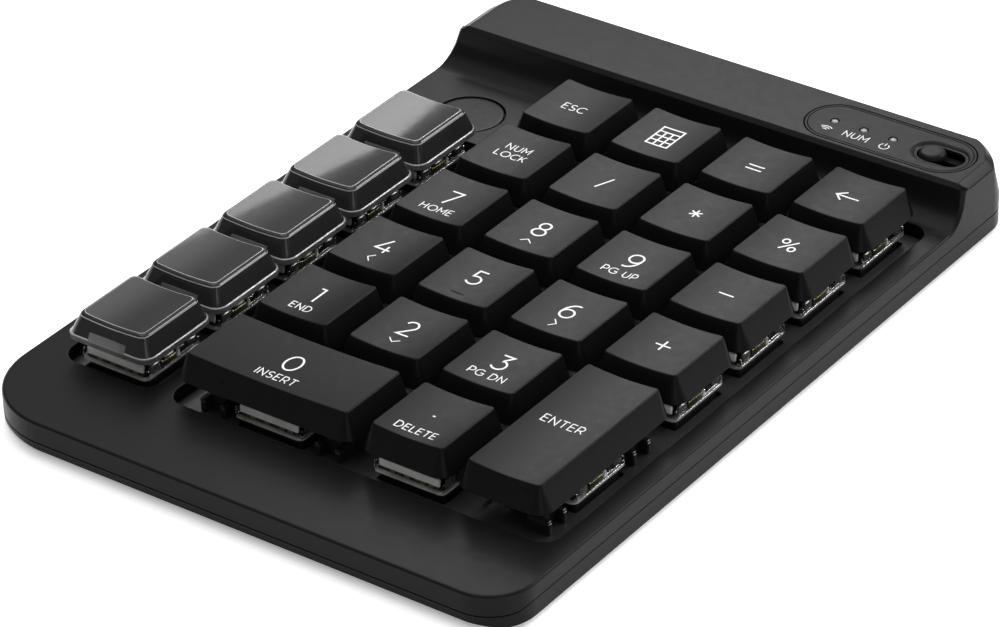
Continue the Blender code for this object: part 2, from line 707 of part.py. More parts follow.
def make_power_slider():
    """The round knob at the left end of its slot, with a nub that reaches down into the switch body."""
    knob_x = SLOT_X - SLOT_TRAVEL / 2
    bm = bmesh.new()
    add_cylinder(bm, (0.0, 0.0), KNOB_RADIUS, KNOB_BOTTOM_Z, KNOB_TOP_Z)
    slider = solid_object("power_slider", bm, PANEL_BLACK, (knob_x, PANEL_Y, 0.0))
    nub_bottom = KNOB_BOTTOM_Z - NUB_DEPTH
    nub = box_object(
        "slider_nub",
        (knob_x - NUB_HALF, PANEL_Y - NUB_HALF, nub_bottom),
        (knob_x + NUB_HALF, PANEL_Y + NUB_HALF, KNOB_BOTTOM_Z + NUB_HALF),
    )
    combine(slider, nub, "UNION")
    half = SWITCH_BODY / 2
    middle = Vector((SLOT_X, PANEL_Y, SWITCH_BODY_TOP_Z - half.z))
    body = box_object("slide_switch_body", middle - half, middle + half, PLATE_GREY)
    reach = SLOT_TRAVEL / 2 + NUB_HALF + NUB_CLEARANCE
    side = NUB_HALF + NUB_CLEARANCE
    pocket = box_object(
        "nub_pocket",
        (SLOT_X - reach, PANEL_Y - side, nub_bottom - NUB_CLEARANCE),
        (SLOT_X + reach, PANEL_Y + side, SWITCH_BODY_TOP_Z + CUT_MARGIN),
    )
    combine(body, pocket, "DIFFERENCE")


def make_badge():
    disc = [circle((MACRO_X, BADGE_Y), BADGE_RADIUS)]
    flat_object("badge", disc, DECK_Z - BADGE_THICKNESS, DECK_Z, PANEL_BLACK)


def make_cells():
    """Two cells end to end along X, with their nubs towards +X."""
    profile = [
        (0.0, CELL_LENGTH + CELL_NUB),
        (CELL_NUB_RADIUS, CELL_LENGTH + CELL_NUB),
        (CELL_NUB_RADIUS, CELL_LENGTH),
        (CELL_RADIUS, CELL_LENGTH),
        (CELL_RADIUS, 0.0),
        (0.0, 0.0),
    ]
    for index in range(2):
        left_end = (CELL_FIRST_X + index * CELL_PITCH, CELL_Y, CELL_Z)
        turned_object(f"cell_{index + 1}", profile, CELL_WRAP, left_end, (0.0, math.radians(90), 0.0))


def make_contacts():
    """The spring contact at the left end of the bay and the plate contact at the right end."""
    half = CONTACT_SIZE / 2
    left = CELL_FIRST_X - CONTACT_GAP - CONTACT_SPRING_REACH - half.x
    right = CELL_FIRST_X + CELL_PITCH + CELL_LENGTH + CELL_NUB + CONTACT_GAP + half.x
    for name, x in (("contact_spring", left), ("contact_plate", right)):
        middle = Vector((x, CELL_Y, CELL_Z))
        contact = box_object(name, middle - half, middle + half, STEEL)
        if name == "contact_spring":
            high = (x + half.x + CONTACT_SPRING_REACH, CELL_Y + CONTACT_PAD, CELL_Z + CONTACT_PAD)
            pad = box_object("contact_pad", (x, CELL_Y - CONTACT_PAD, CELL_Z - CONTACT_PAD), high)
            combine(contact, pad, "UNION")


def make_battery_door():
    outline = rounded_rectangle(DOOR_X, DOOR_Y, DOOR_RADII, CORNER_STEPS)
    flat_object("battery_door", [outline], BASE_Z, BASE_Z + DOOR_THICKNESS, CASE_BLACK)


def main():
    make_top_case()
    make_bottom_case()
    make_switch_plate()
    make_circuit_board()
    make_keycaps()
    make_stabiliser_wire("stabiliser_wire_0", column_x(0.5), row_y(0), True)
    make_stabiliser_wire("stabiliser_wire_enter", column_x(3), row_y(0.5), False)
    make_control_panel()
    make_power_slider()
    make_badge()
    make_cells()
    make_contacts()
    make_battery_door()
    make_feet()
    make_screws()


main()
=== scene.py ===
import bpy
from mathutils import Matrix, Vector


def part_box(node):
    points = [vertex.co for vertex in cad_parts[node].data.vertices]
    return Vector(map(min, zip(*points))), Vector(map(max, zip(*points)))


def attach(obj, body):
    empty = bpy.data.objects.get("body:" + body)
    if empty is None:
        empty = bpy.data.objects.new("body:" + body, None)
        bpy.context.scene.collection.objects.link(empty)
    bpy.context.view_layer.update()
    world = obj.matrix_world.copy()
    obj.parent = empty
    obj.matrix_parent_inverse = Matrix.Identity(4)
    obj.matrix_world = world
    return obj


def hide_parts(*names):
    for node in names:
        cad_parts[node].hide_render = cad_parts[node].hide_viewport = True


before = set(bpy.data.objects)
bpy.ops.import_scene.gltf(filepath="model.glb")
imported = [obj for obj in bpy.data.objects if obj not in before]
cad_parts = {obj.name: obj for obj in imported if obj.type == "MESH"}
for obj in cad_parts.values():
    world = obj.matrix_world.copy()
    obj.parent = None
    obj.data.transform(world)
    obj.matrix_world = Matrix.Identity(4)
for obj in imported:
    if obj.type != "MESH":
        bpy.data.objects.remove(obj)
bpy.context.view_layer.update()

from math import cos, degrees, hypot, pi, radians, sin, tan

import bmesh
import bpy
from mathutils import Matrix, Vector
from mathutils.geometry import delaunay_2d_cdt

MM = 0.001      # every length below is in millimetres


# materials
class Nodes:
    """A node material around one Principled shader."""

    def __init__(self, name, colour, rough, metal=0, **sockets):
        self.material = bpy.data.materials.new(name)
        self.material.use_nodes = True
        self.tree = self.material.node_tree
        self.add, self.link = self.tree.nodes.new, self.tree.links.new
        self.shader = self.tree.nodes["Principled BSDF"]
        for key, value in {"Base Color": (*colour, 1), "Roughness": rough, "Metallic": metal, **sockets}.items():
            self.shader.inputs[key].default_value = value
        self.where = self.add("ShaderNodeTexCoord").outputs["Object"]

    def noise(self, per_mm, detail=3, rough=0.6, stretch=None):
        where = self.where
        if stretch:
            mapping = self.add("ShaderNodeMapping")
            mapping.inputs["Scale"].default_value = stretch
            self.link(where, mapping.inputs["Vector"])
            where = mapping.outputs["Vector"]
        node = self.add("ShaderNodeTexNoise")
        for key, value in (("Scale", per_mm * 1000), ("Detail", detail), ("Roughness", rough)):
            node.inputs[key].default_value = value
        self.link(where, node.inputs["Vector"])
        return node.outputs["Fac"]

    def spread(self, factor, low, high, ends=(0.3, 0.7)):
        node = self.add("ShaderNodeMapRange")
        for key, value in zip(("From Min", "From Max", "To Min", "To Max"), (*ends, low, high)):
            node.inputs[key].default_value = value
        self.link(factor, node.inputs["Value"])
        return node.outputs["Result"]

    def tint(self, factor, dark, light, ends=(0.3, 0.7)):
        ramp = self.add("ShaderNodeValToRGB")
        ramp.color_ramp.elements[0].position, ramp.color_ramp.elements[1].position = ends
        ramp.color_ramp.elements[0].color, ramp.color_ramp.elements[1].color = (*dark, 1), (*light, 1)
        self.link(factor, ramp.inputs["Fac"])
        self.link(ramp.outputs["Color"], self.shader.inputs["Base Color"])

    def gloss(self, factor, low, high):
        self.link(self.spread(factor, low, high), self.shader.inputs["Roughness"])

    def bump(self, factor, depth):
        node = self.add("ShaderNodeBump")
        node.inputs["Strength"].default_value = 1.0
        node.inputs["Distance"].default_value = depth * MM
        self.link(factor, node.inputs["Height"])
        self.link(node.outputs["Normal"], self.shader.inputs["Normal"])


def shades(colour, *factors):
    return [[c * factor for c in colour] for factor in factors]


def moulded(name, colour, rough, grain=9, depth=0.004, vary=0.12, level=0.5, clearness=0, ior=1.5):
    """Moulded plastic: faint mottling, a little uneven gloss and a fine spark-eroded grain."""
    colour = colour if isinstance(colour, tuple) else (colour,) * 3
    sockets = {"Specular IOR Level": level, "Transmission Weight": clearness, "IOR": ior}
    made = Nodes(name, colour, rough, **sockets)
    made.tint(made.noise(0.05, 4), *shades(colour, 1 - vary, 1 + vary))
    made.gloss(made.noise(0.6, 3), rough - 0.03, rough + 0.03)
    made.bump(made.noise(grain, 2, 0.5), depth)
    return made.material


def brushed(name, colour, rough):
    """Drawn or stamped metal, with fine lines along it and a little tarnish."""
    made = Nodes(name, colour, rough, 1)
    made.tint(made.noise(0.5, 4), *shades(colour, 0.75, 1))
    lines = made.noise(1.2, 4, 0.7, (1, 12, 12))
    made.gloss(lines, rough - 0.08, rough + 0.12)
    made.bump(lines, 0.004)
    return made.material


def clear(name, colour, rough, mottle, depth):
    """Clear moulded plastic with faint flow marks."""
    made = Nodes(name, colour, rough, **{"Transmission Weight": 1, "IOR": CLEAR})
    made.tint(made.noise(0.08, 2), *shades(colour, 0.94, 1))
    made.bump(made.noise(mottle, 3, 0.6), depth)
    return made.material


CLEAR = 1.49        # refractive index of the clear plastic
CASE = moulded("case_plastic", 0.0035, 0.36, vary=0.06, level=0.09)
# painted shade: a darker copy of the case plastic for the slide switch body, deep in its slot
SLOT_SHADE = moulded("slot_painted_shade", 0.0015, 0.7, level=0.15)
KEYCAP = moulded("keycap_plastic", 0.003, 0.3, 11, 0.003, 0.05, 0.065)
# painted shade: the clear cap's faces take a dark, barely clear copy of the clear plastic, for the dark parts
# seen through it
CAP_SHADED_FACE = moulded("clear_cap_painted_shade", 0.016, 0.1, 0.4, 0.001, 0.1, 0.2, 0.15, CLEAR)
CAP_EDGE = clear("clear_cap_edge", (0.93, 0.94, 0.94), 0.04, 0.8, 0.006)
# painted highlights: the thin rims and the lip take lighter copies of the clear plastic, for the bright lines
# light draws along the cap's edges
CAP_RIM_HIGHLIGHT = moulded("clear_cap_rim_painted_highlight", (0.5, 0.51, 0.51), 0.08, 0.6, 0.004, 0.25, 0.5, 0.5, CLEAR)
CAP_LIP_LIGHT = moulded("clear_cap_lip_painted_light", 0.13, 0.1, 0.7, 0.01, 0.6, 0.5, 0.4, CLEAR)
PRINT = moulded("white_print", 0.62, 0.45, depth=0.001, vary=0.02)
HOUSING = clear("switch_housing_plastic", (0.8, 0.81, 0.8), 0.1, 1.5, 0.01)
# frosted housing plastic, painted lighter for the lit bars; the side ribs take a darker painted-shade copy
FROST_LIT = moulded("frosted_housing_painted_light", (0.66, 0.66, 0.64), 0.3, 0.45, 0.04, 0.4, 0.5, 0.15, CLEAR)
RIB_SHADE = moulded("housing_rib_painted_shade", (0.07, 0.07, 0.068), 0.15, 0.5, 0.04, 0.8, 0.5, 0.3, CLEAR)
FLANGE = moulded("housing_flange", (0.26, 0.26, 0.25), 0.12, 0.35, 0.06, 0.9, ior=CLEAR)
STEM = clear("switch_stem_plastic", (0.66, 0.67, 0.67), 0.22, 1.5, 0.01)
PLATE = moulded("plate_finish", (0.018, 0.018, 0.0185), 0.45, 6, 0.005)
BOARD = moulded("board_mask", (0.006, 0.03, 0.016), 0.4, 2, 0.01)
PANEL = moulded("panel_plastic", 0.006, 0.36, 11, 0.002, 0.05, 0.075)
BADGE = moulded("badge_plastic", 0.003, 0.28, depth=0.001, vary=0.05, level=0.075)
PIPE = moulded("light_pipe_plastic", 0.3, 0.3, depth=0.002, clearness=0.3)
# black stabiliser plastic, also laid on the switch housings' clear clips as painted shade
BLOCK_AND_SHADE = moulded("stabiliser_plastic_and_painted_shade", 0.006, 0.4)
RUBBER = moulded("foot_rubber", 0.02, 0.75, 5, 0.01)
STEEL = brushed("steel", (0.58, 0.57, 0.55), 0.28)
BRASS = brushed("contact_leaf", (0.3, 0.27, 0.14), 0.35)
WRAP = moulded("cell_wrap_film", (0.05, 0.055, 0.06), 0.3, depth=0.001)


# mesh building
class Shape:
    """Points in millimetres, each with the normal it is shaded with, and faces by material."""

    def __init__(self):
        self.points, self.normals, self.faces, self.slots, self.seen = [], [], [], [], {}

    def point(self, where, normal=(0, 0, 0)):
        key = tuple(round(c, 3) for c in where)
        if key not in self.seen:
            self.seen[key] = len(self.points)
            self.points.append(Vector(where))
            self.normals.append(Vector(normal))
        elif not self.normals[self.seen[key]].length_squared:
            self.normals[self.seen[key]] = Vector(normal)
        return self.seen[key]

    def ring(self, places, normals=None):
        return [self.point(p, normals[i] if normals else (0, 0, 0)) for i, p in enumerate(places)]

    def face(self, corners, slot=0):
        kept = [c for i, c in enumerate(corners) if c != corners[i - 1]]
        if len(set(kept)) > 2:
            self.faces.append(kept)
            self.slots.append(slot)

    def loft(self, rings, slot=0, closed=True):
        for low, high in zip(rings, rings[1:]):
            count = len(low)
            for i in range(count if closed else count - 1):
                j = (i + 1) % count
                self.face([low[i], low[j], high[j], high[i]], slot)

    def solid(self, rings, slot=0):
        """Skins rings and closes both ends."""
        self.loft(rings, slot)
        self.face(rings[0], slot)
        self.face(rings[-1], slot)

    def stack(self, stations, levels, slot=0, facing=1, closed=False):
        """Skins and gives back rings of the stations, one for each (inset, height) or (inset, height, tilt)."""
        rings = []
        for a, z, *tilt in levels:
            places, normals = inset(stations, a, z, *tilt, facing=facing)
            rings.append(self.ring(places, normals if tilt else None))
        (self.solid if closed else self.loft)(rings, slot)
        return rings

    def at(self, ring):
        return [self.points[i] for i in ring]

    def skin(self, outer, holes, rows, lift, slot=0):
        """A surface lift(x, y) -> (z, normal), inside one ring and outside the others, creased along rows."""
        plan, edges = [], []
        for loop in [outer, *holes]:
            first = len(plan)
            plan += [Vector((p[0], p[1])) for p in loop]
            edges += [(first + i, first + (i + 1) % len(loop)) for i in range(len(loop))]
        for a, b in rows:
            edges.append((len(plan), len(plan) + 1))
            plan += [Vector(a), Vector(b)]
        found, _, faces, *_ = delaunay_2d_cdt(plan, edges, [], 0, 1e-5)
        made = []
        for p in found:
            z, normal = lift(p.x, p.y)
            made.append(self.point((p.x, p.y, z), normal))
        for face in faces:
            x, y = (sum(found[i][k] for i in face) / 3 for k in (0, 1))
            if inside(x, y, outer) and not any(inside(x, y, hole) for hole in holes):
                self.face([made[i] for i in face], slot)

    def make(self, name, materials, body, replaces=(), slot=None, sharp=None, copies=((0, 0, 0),)):
        mesh = bpy.data.meshes.new(name)
        points, faces, slots, normals = [], [], [], []
        for move in copies:
            first = len(points)
            points += [(p + Vector(move)) * MM for p in self.points]
            faces += [[first + i for i in face] for face in self.faces]
            slots += self.slots
            normals += self.normals
        mesh.from_pydata(points, [], faces)
        for material in materials:
            mesh.materials.append(material)
        mesh.polygons.foreach_set("material_index", slots)
        editing = bmesh.new()
        editing.from_mesh(mesh)
        bmesh.ops.recalc_face_normals(editing, faces=editing.faces)
        editing.to_mesh(mesh)
        editing.free()
        mesh.shade_smooth()
        if sharp is not None:
            mesh.set_sharp_from_angle(angle=radians(sharp))
        if any(n.length_squared for n in self.normals):
            mesh.normals_split_custom_set_from_vertices(normals)
        obj = bpy.data.objects.new(name, mesh)
        bpy.context.scene.collection.objects.link(obj)
        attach(obj, body)
        if replaces:
            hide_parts(*replaces)


def inside(x, y, ring):
    hit, last = False, ring[-1]
    for p in ring:
        if (p[1] > y) != (last[1] > y) and x < (last[0] - p[0]) * (y - p[1]) / (last[1] - p[1]) + p[0]:
            hit = not hit
        last = p
    return hit


def smooth(t):
    t = max(0, min(1, t))
    return t * t * (3 - 2 * t)


def rounded(cx, cy, hx, hy, r, steps=6, across=1):
    """Stations (x, y, nx, ny) round a rounded rectangle from its front left corner."""
    stations = []
    for k, (sx, sy) in enumerate(((-1, -1), (1, -1), (1, 1), (-1, 1))):
        start = pi + k * pi / 2
        for i in range(steps + 1):
            a = start + i * pi / 2 / steps
            stations.append((cx + sx * (hx - r) + r * cos(a), cy + sy * (hy - r) + r * sin(a), cos(a), sin(a)))
        if k in (0, 2):
            for i in range(1, across):
                x = (hx - r) * (2 * i / across - 1)
                stations.append((cx + (x if k == 0 else -x), cy + sy * hy, 0, sy))
    return stations


def disc(cx, cy, r, steps):
    turns = [2 * pi * i / steps for i in range(steps)]
    return [(cx + r * cos(a), cy + r * sin(a), cos(a), sin(a)) for a in turns]


def tilted(nx, ny, tilt):
    """The plan direction (nx, ny) turned up by tilt degrees."""
    t = radians(tilt)
    return nx * cos(t), ny * cos(t), sin(t)


def inset(stations, a, z, tilt=0, facing=1):
    """The ring a inside the stations at height z, and its tilted normals. In a hole, facing is -1."""
    return ([(x - nx * a, y - ny * a, z) for x, y, nx, ny in stations],
            [tilted(facing * nx, facing * ny, tilt) for x, y, nx, ny in stations])


def lathe(shape, cx, cy, profile, steps=48):
    """Turns (radius, z, tilt) into rings round an upright axis, and closes both ends."""
    shape.solid([shape.ring(*inset(disc(cx, cy, r, steps), 0, z, tilt)) for r, z, tilt in profile])


def bore(shape, cx, cy, profile, steps):
    """Turns (radius, z) into plain rings round an upright axis, with both ends open, and gives them back."""
    rings = [shape.ring(inset(disc(cx, cy, r, steps), 0, z)[0]) for r, z in profile]
    shape.loft(rings)
    return rings


def block(shape, lo, hi, edge=0.15, slot=0, r=None, steps=2):
    """A small moulded block with eased edges."""
    cx, cy = (lo[0] + hi[0]) / 2, (lo[1] + hi[1]) / 2
    hx, hy = (hi[0] - lo[0]) / 2, (hi[1] - lo[1]) / 2
    levels = ((edge, lo[2]), (0, lo[2] + edge), (0, hi[2] - edge), (edge, hi[2]))
    shape.stack(rounded(cx, cy, hx, hy, r or edge * 1.2, steps), levels, slot, closed=True)


# case outline and section
HALF_X, HALF_Y = 55.1, 77.4
CORNERS = (((-1, -1), 15.5, 26), ((1, -1), 8.5, 18), ((1, 1), 7.2, 18), ((-1, 1), 7.5, 16))
DECK, BAR = 7.3, 14.4          # heights of the flat deck and of the bar
WALL = 1.5                     # thickness of the case's walls
EASE = 0.25                    # eased upper edge of the key wells
LEAN_Z = 6.8                   # the outer wall leans in above this height
PLATE_LOW, PLATE_TOP = 3.8, 4.7
UNDER, DOOR_TOP, FLOOR = 0.8, 2, 3      # underside, roof of the door's recess, inner floor
SWEEP_Y, SWEEP_Z, SWEEP_R = 54.4, 12.9, 5.6
WELLS = ((-39.6, -11.5, 9.8, 47.7), (12.5, -2.15, 38.8, 57.55))     # centre and half sizes
BADGE_X, BADGE_Y = -39.7, 44.5
PANEL_X, PANEL_Y, PANEL_SEAT = 35, 68.1, 13.7
LIGHTS = (23.5, 29.55, 35.6)
SCREWS = [(sx * 45, y) for y in (-69.1, 59.2) for sx in (-1, 1)]
FEET = [(sx * 34.5, y) for y in (-69, 54.5) for sx in (-1, 1)]
# centres and half sizes of the stabiliser blocks
STABILISERS = ((-19, -54.3, 2.6, 2.2), (4.8, -54.3, 2.6, 2.2), (45.3, -51.9, 2.2, 2.6), (45.3, -28.1, 2.2, 2.6))
BAY_X, BAY_Y, CELL_Z = -4.85, 68.3, 7.3       # battery bay and the cells' axis


def turn(corner, r, first, last, steps):
    """Points round a convex edge, between the directions first and last in degrees."""
    (y, z), a, b = corner, radians(first), radians(last)
    t = r * tan((a - b) / 2)
    cy, cz = y - t * cos(a) + r * sin(a), z - t * sin(a) - r * cos(a)
    turns = [a + (b - a) * i / steps for i in range(steps + 1)]
    return [(cy - r * sin(q), cz + r * cos(q), degrees(q)) for q in turns]


def section(r, angles, ends):
    return [(SWEEP_Y + r * sin(radians(q)), SWEEP_Z - r * cos(radians(q)), q) for q in angles] + ends


OUTER = section(SWEEP_R, [0, 12.4, 17, 22, 27, 32, 37, 42, 47, 52, 57, 62, 66, 70, 73, 75],
                turn((60.4, 13.65), 0.3, 75, 45, 3) + turn((61.15, BAR), 0.3, 45, 0, 4))
INNER = section(7.1, [0, 11, 25, 40, 55, 68, 75], [(61.86, 13.3, 0)])


def height(rows, y):
    """Height and slope of a section at y."""
    if y <= rows[0][0]:
        return rows[0][1], 0.0
    for a, b in zip(rows, rows[1:]):
        if y <= b[0] + 1e-6:
            t = (y - a[0]) / max(b[0] - a[0], 1e-9)
            return a[1] + t * (b[1] - a[1]), a[2] + t * (b[2] - a[2])
    return rows[-1][1], 0.0


def lift(rows):
    def at(x, y):
        z, q = height(rows, y)
        return z, (0, -sin(radians(q)), cos(radians(q)))
    return at


def flat(z, up=1):
    return lambda x, y: (z, (0, 0, up))


def outline(levels=()):
    """Stations round the case, anticlockwise from the left end of the front left corner."""
    stations = []
    for k, ((sx, sy), r, steps) in enumerate(CORNERS):
        for i in range(steps + 1):
            a = pi + k * pi / 2 + i * pi / 2 / steps
            stations.append((sx * (HALF_X - r) + r * cos(a), sy * (HALF_Y - r) + r * sin(a), cos(a), sin(a)))
        if k == 1:
            stations += [(HALF_X, y, 1, 0) for y in sorted(levels)]
        if k == 3:
            stations += [(-HALF_X, y, -1, 0) for y in sorted(levels, reverse=True)]
    return stations


def lean(n):
    """How fast the wall leans in above the deck, by the way it faces."""
    corner = 0.27 * n[0] * n[1] if n[0] > 0 and n[1] > 0 else 0.0
    return 0.05 * max(n[0], 0) + 0.22 * max(-n[0], 0) + 0.08 * max(n[1], 0) + corner


def leant(n, z):
    return lean(n) * max(0, z - LEAN_Z)


def seam(n):
    """Height of the seam: lower across the front and round the front right corner."""
    return 4.2 - 0.8 * smooth((-n[1] - 0.05) / 0.5)


RIM = outline({round(row[0], 5) for row in OUTER + INNER[1:]})


def edge_form(x, y, n):
    """Width and depth of the upper edge there, and how far it is a flat chamfer (1) or a plain round (0)."""
    if n[1] > 0.02 and y > 60:
        t = smooth(n[1])
        return 1.7 - 1.1 * t, 1.15 - 0.35 * t, 1.0
    t = max(0, min(1, (y - SWEEP_Y) / 5.4))
    u = smooth((y - 60.1) / 1.2)
    wide, deep = 0.5 + 0.2 * t, 0.5 + 0.25 * t
    return wide + (1.7 - wide) * u, deep + (1.15 - deep) * u, max(0.6 * smooth(t), u)


def rim_ring(k):
    """One of the six rings of the upper edge, from the deck side (0) to the wall (5)."""
    places, normals = [], []
    soft = 0.12
    for x, y, nx, ny in RIM:
        z, q = height(OUTER, y)
        c, d, kind = edge_form(x, y, (nx, ny))
        turned = radians(18 * k)
        plain = (c * (1 - sin(turned)), d * (1 - cos(turned)), 90 - 18 * k)
        cut = ((c + soft, 0, 90), (c, 0.25 * soft, 68), (c - soft, soft * d / c, 47),
               (soft * c / d, d - soft, 43), (0.25 * soft, d, 22), (0, d + soft, 0))[k]
        a, b, tilt = (p + (f - p) * kind for p, f in zip(plain, cut))
        s, c = sin(radians(q)), cos(radians(q))
        py, pz = y - ny * a + s * b, z - c * b
        inward = leant((nx, ny), pz)
        places.append([x - nx * (a + inward), py - ny * inward, pz])
        t = radians(tilt)
        normals.append((nx * cos(t), ny * cos(t) - s * sin(t), c * sin(t)))
    return places, normals


def tidy_sides(places):
    """Keeps each side's stations in order where the edge folds over the bar."""
    for side in (1, -1):
        last = None
        for i in range(len(RIM))[::side]:
            if RIM[i][2] == side and abs(RIM[i][3]) < 1e-9 and RIM[i][1] > 40:
                if last is not None and places[i][1] < last + 0.02:
                    places[i][1] = last + 0.02
                last = places[i][1]
    return places


def creases(shape, edge, section_rows):
    """Lines across the case from edge to edge, where a section has its rows."""
    made = []
    for y, *_ in section_rows:
        ends = [tuple(shape.points[i][:2]) for i, s in zip(edge, RIM)
                if abs(s[3]) < 1e-9 and abs(s[1] - y) < 1e-4]
        if len(ends) == 2:
            made.append((ends[1], ends[0]))
    return made


def make_top_case():
    shape = Shape()
    rings = []
    for k in range(6):
        places, normals = rim_ring(k)
        rings.append(shape.ring(tidy_sides(places), normals))
    knee = []
    for q, (_, _, nx, ny) in zip(shape.at(rings[-1]), RIM):
        out = lean((nx, ny))
        knee.append((q.x + nx * out * max(0, q.z - LEAN_Z), q.y + ny * out * max(0, q.z - LEAN_Z),
                     min(q.z - 0.02, LEAN_Z if q.z > 7.5 else 5.6)))
    rings.append(shape.ring(knee, [(s[2], s[3], 0) for s in RIM]))

    def above_seam(a, rise):
        return [(q[0] - s[2] * a, q[1] - s[3] * a, seam(s[2:]) + rise) for q, s in zip(knee, RIM)]

    for a, rise, tilt in ((0, 0.16, 0), (0.05, 0.04, -45), (0.16, 0, -90)):
        rings.append(shape.ring(above_seam(a, rise), [tilted(s[2], s[3], tilt) for s in RIM]))
    for a, rise in ((0.45, 0), (0.45, 0.6), (WALL, 0.6)):
        rings.append(shape.ring(above_seam(a, rise)))
    shape.loft(rings)
    top_edge, inner = rings[0], []
    for x, y, nx, ny in RIM:
        z, _ = height(INNER, y - ny * WALL)
        a = WALL + leant((nx, ny), z)
        inner.append((x - nx * a, y - ny * a, z))
    inner_edge = shape.ring(inner)
    shape.loft([rings[-1], inner_edge])
    # key wells: eased top edge, wall, and the edge of the inner skin
    top_holes, inner_holes = [], []
    for spot in WELLS:
        stations = rounded(*spot, 3.4, 14)
        well = []
        for a, b, tilt in ((1, 0, 90), (0.62, 0.08, 67), (0.29, 0.29, 45), (0.08, 0.62, 22), (0, 1, 0)):
            places = [(x + nx * a * EASE, y + ny * a * EASE, height(OUTER, y + ny * a * EASE)[0] - b * EASE)
                      for x, y, nx, ny in stations]
            well.append(shape.ring(places, [tilted(-nx, -ny, tilt) for x, y, nx, ny in stations]))
            if a == 1:
                top_holes.append(places)
        low = [(x + nx, y + ny, height(INNER, y + ny)[0]) for x, y, nx, ny in stations]
        well += [shape.ring(inset(stations, a, 5)[0]) for a in (0, -1)] + [shape.ring(low)]
        shape.loft(well)
        inner_holes.append(low)
    seat = shape.stack(disc(BADGE_X, BADGE_Y, 6.6, 64),
                       ((-0.12, DECK, 90), (-0.035, 7.265, 45), (0, 7.18, 0), (0, 6.5, 0)), facing=-1)
    shape.face(seat[-1])
    top_holes.append(shape.at(seat[0]))
    # seat of the control panel, with the holes under it
    seat = shape.stack(rounded(PANEL_X, PANEL_Y, 16.95, 6.2, 6.2, 24),
                       ((-0.1, BAR, 90), (-0.03, 14.37, 45), (0, 14.3, 0), (0, PANEL_SEAT, 0)), facing=-1)
    top_holes.append(shape.at(seat[0]))
    holes = []
    for stations in [rounded(45.5, PANEL_Y, 4.9, 2.9, 2.9, 10)] + [disc(x, PANEL_Y, 0.95, 20) for x in LIGHTS]:
        high, low = shape.stack(stations, ((0, PANEL_SEAT), (0, 13.3)))
        holes.append(shape.at(high))
        inner_holes.append(shape.at(low))
    shape.skin(shape.at(seat[-1]), holes, [], flat(PANEL_SEAT))
    shape.skin(shape.at(top_edge), top_holes, creases(shape, top_edge, OUTER), lift(OUTER))
    shape.skin(inner, inner_holes, creases(shape, inner_edge, INNER),
               lambda x, y: (height(INNER, y)[0], (0, 0, 0)))
    for x, y in SCREWS:
        bore(shape, x, y, ((1, 6), (1, 3.4), (2, 3.4), (2, 6)), 20)
    shape.make("top_case_shell", [CASE], "case", ["top_case"], "case_black")


def make_bottom_case():
    shape, rim, rings = Shape(), outline(), []

    def wall(a, z, tilt=0, from_seam=False):
        places = []
        for x, y, nx, ny in rim:
            top = seam((nx, ny))
            level = top + z if from_seam else z
            inward = a + smooth((-ny - 0.6) / 0.4) * max(0, min(1, (top - 0.3 - level) / 2))
            places.append((x - nx * inward, y - ny * inward, level))
        rings.append(shape.ring(places, [tilted(nx, ny, tilt) for _, _, nx, ny in rim]))

    for a, rise in ((WALL, None), (WALL, 0.5), (0.6, 0.5), (0.6, -0.1)):
        rings.append(shape.ring([(x - nx * a, y - ny * a, FLOOR if rise is None else seam((nx, ny)) + rise)
                                 for x, y, nx, ny in rim]))
    for a, z, tilt in ((0.12, -0.1, 90), (0.04, -0.13, 45), (0, -0.2, 0)):
        wall(a, z, tilt, True)
    for a, z, tilt in ((0, 1.15, 0), (0.04, 1.04, -40), (0.15, 1, -90), (1.9, 1, -90), (2, 0.97, -45),
                       (2.05, 0.84, -30), (2.2, UNDER, -90)):
        wall(a, z, tilt)
    shape.loft(rings)
    low_holes, high_holes = [], []
    for x, y in SCREWS:
        made = bore(shape, x, y, ((2.25, UNDER), (2.2, 0.9), (2.2, 2), (1, 2), (1, FLOOR)), 24)
        low_holes.append(shape.at(made[0]))
        high_holes.append(shape.at(made[-1]))
    for x, y in FEET:
        made = shape.stack(rounded(x, y, 6.3, 2.8, 2.3, 8), ((0, UNDER), (0, 1.3)))
        shape.face(made[-1])
        low_holes.append(shape.at(made[0]))
    # a recess for the door under the bar, then the opening into the bay
    recess = shape.stack(rounded(BAY_X, 68.35, 46.65, 6.75, 0.8, 4), ((0, UNDER), (0, DOOR_TOP)))
    low_holes.append(shape.at(recess[0]))
    bay = shape.stack(rounded(BAY_X, BAY_Y, 45.35, 5.5, 0.5, 3), ((0, DOOR_TOP), (0, FLOOR)))
    shape.skin(shape.at(recess[1]), [shape.at(bay[0])], [], flat(DOOR_TOP, -1))
    high_holes.append(shape.at(bay[1]))
    pocket = shape.stack(rounded(0, -2.15, 49.2, 58.85, 1, 4), ((0, FLOOR), (0, 1.9)))
    shape.face(pocket[-1])
    high_holes.append(shape.at(pocket[0]))
    shape.skin(shape.at(rings[-1]), low_holes, [], flat(UNDER, -1))
    shape.skin(shape.at(rings[0]), high_holes, [], flat(FLOOR))
    shape.make("bottom_case_shell", [CASE], "case", ["bottom_case"], "case_black")


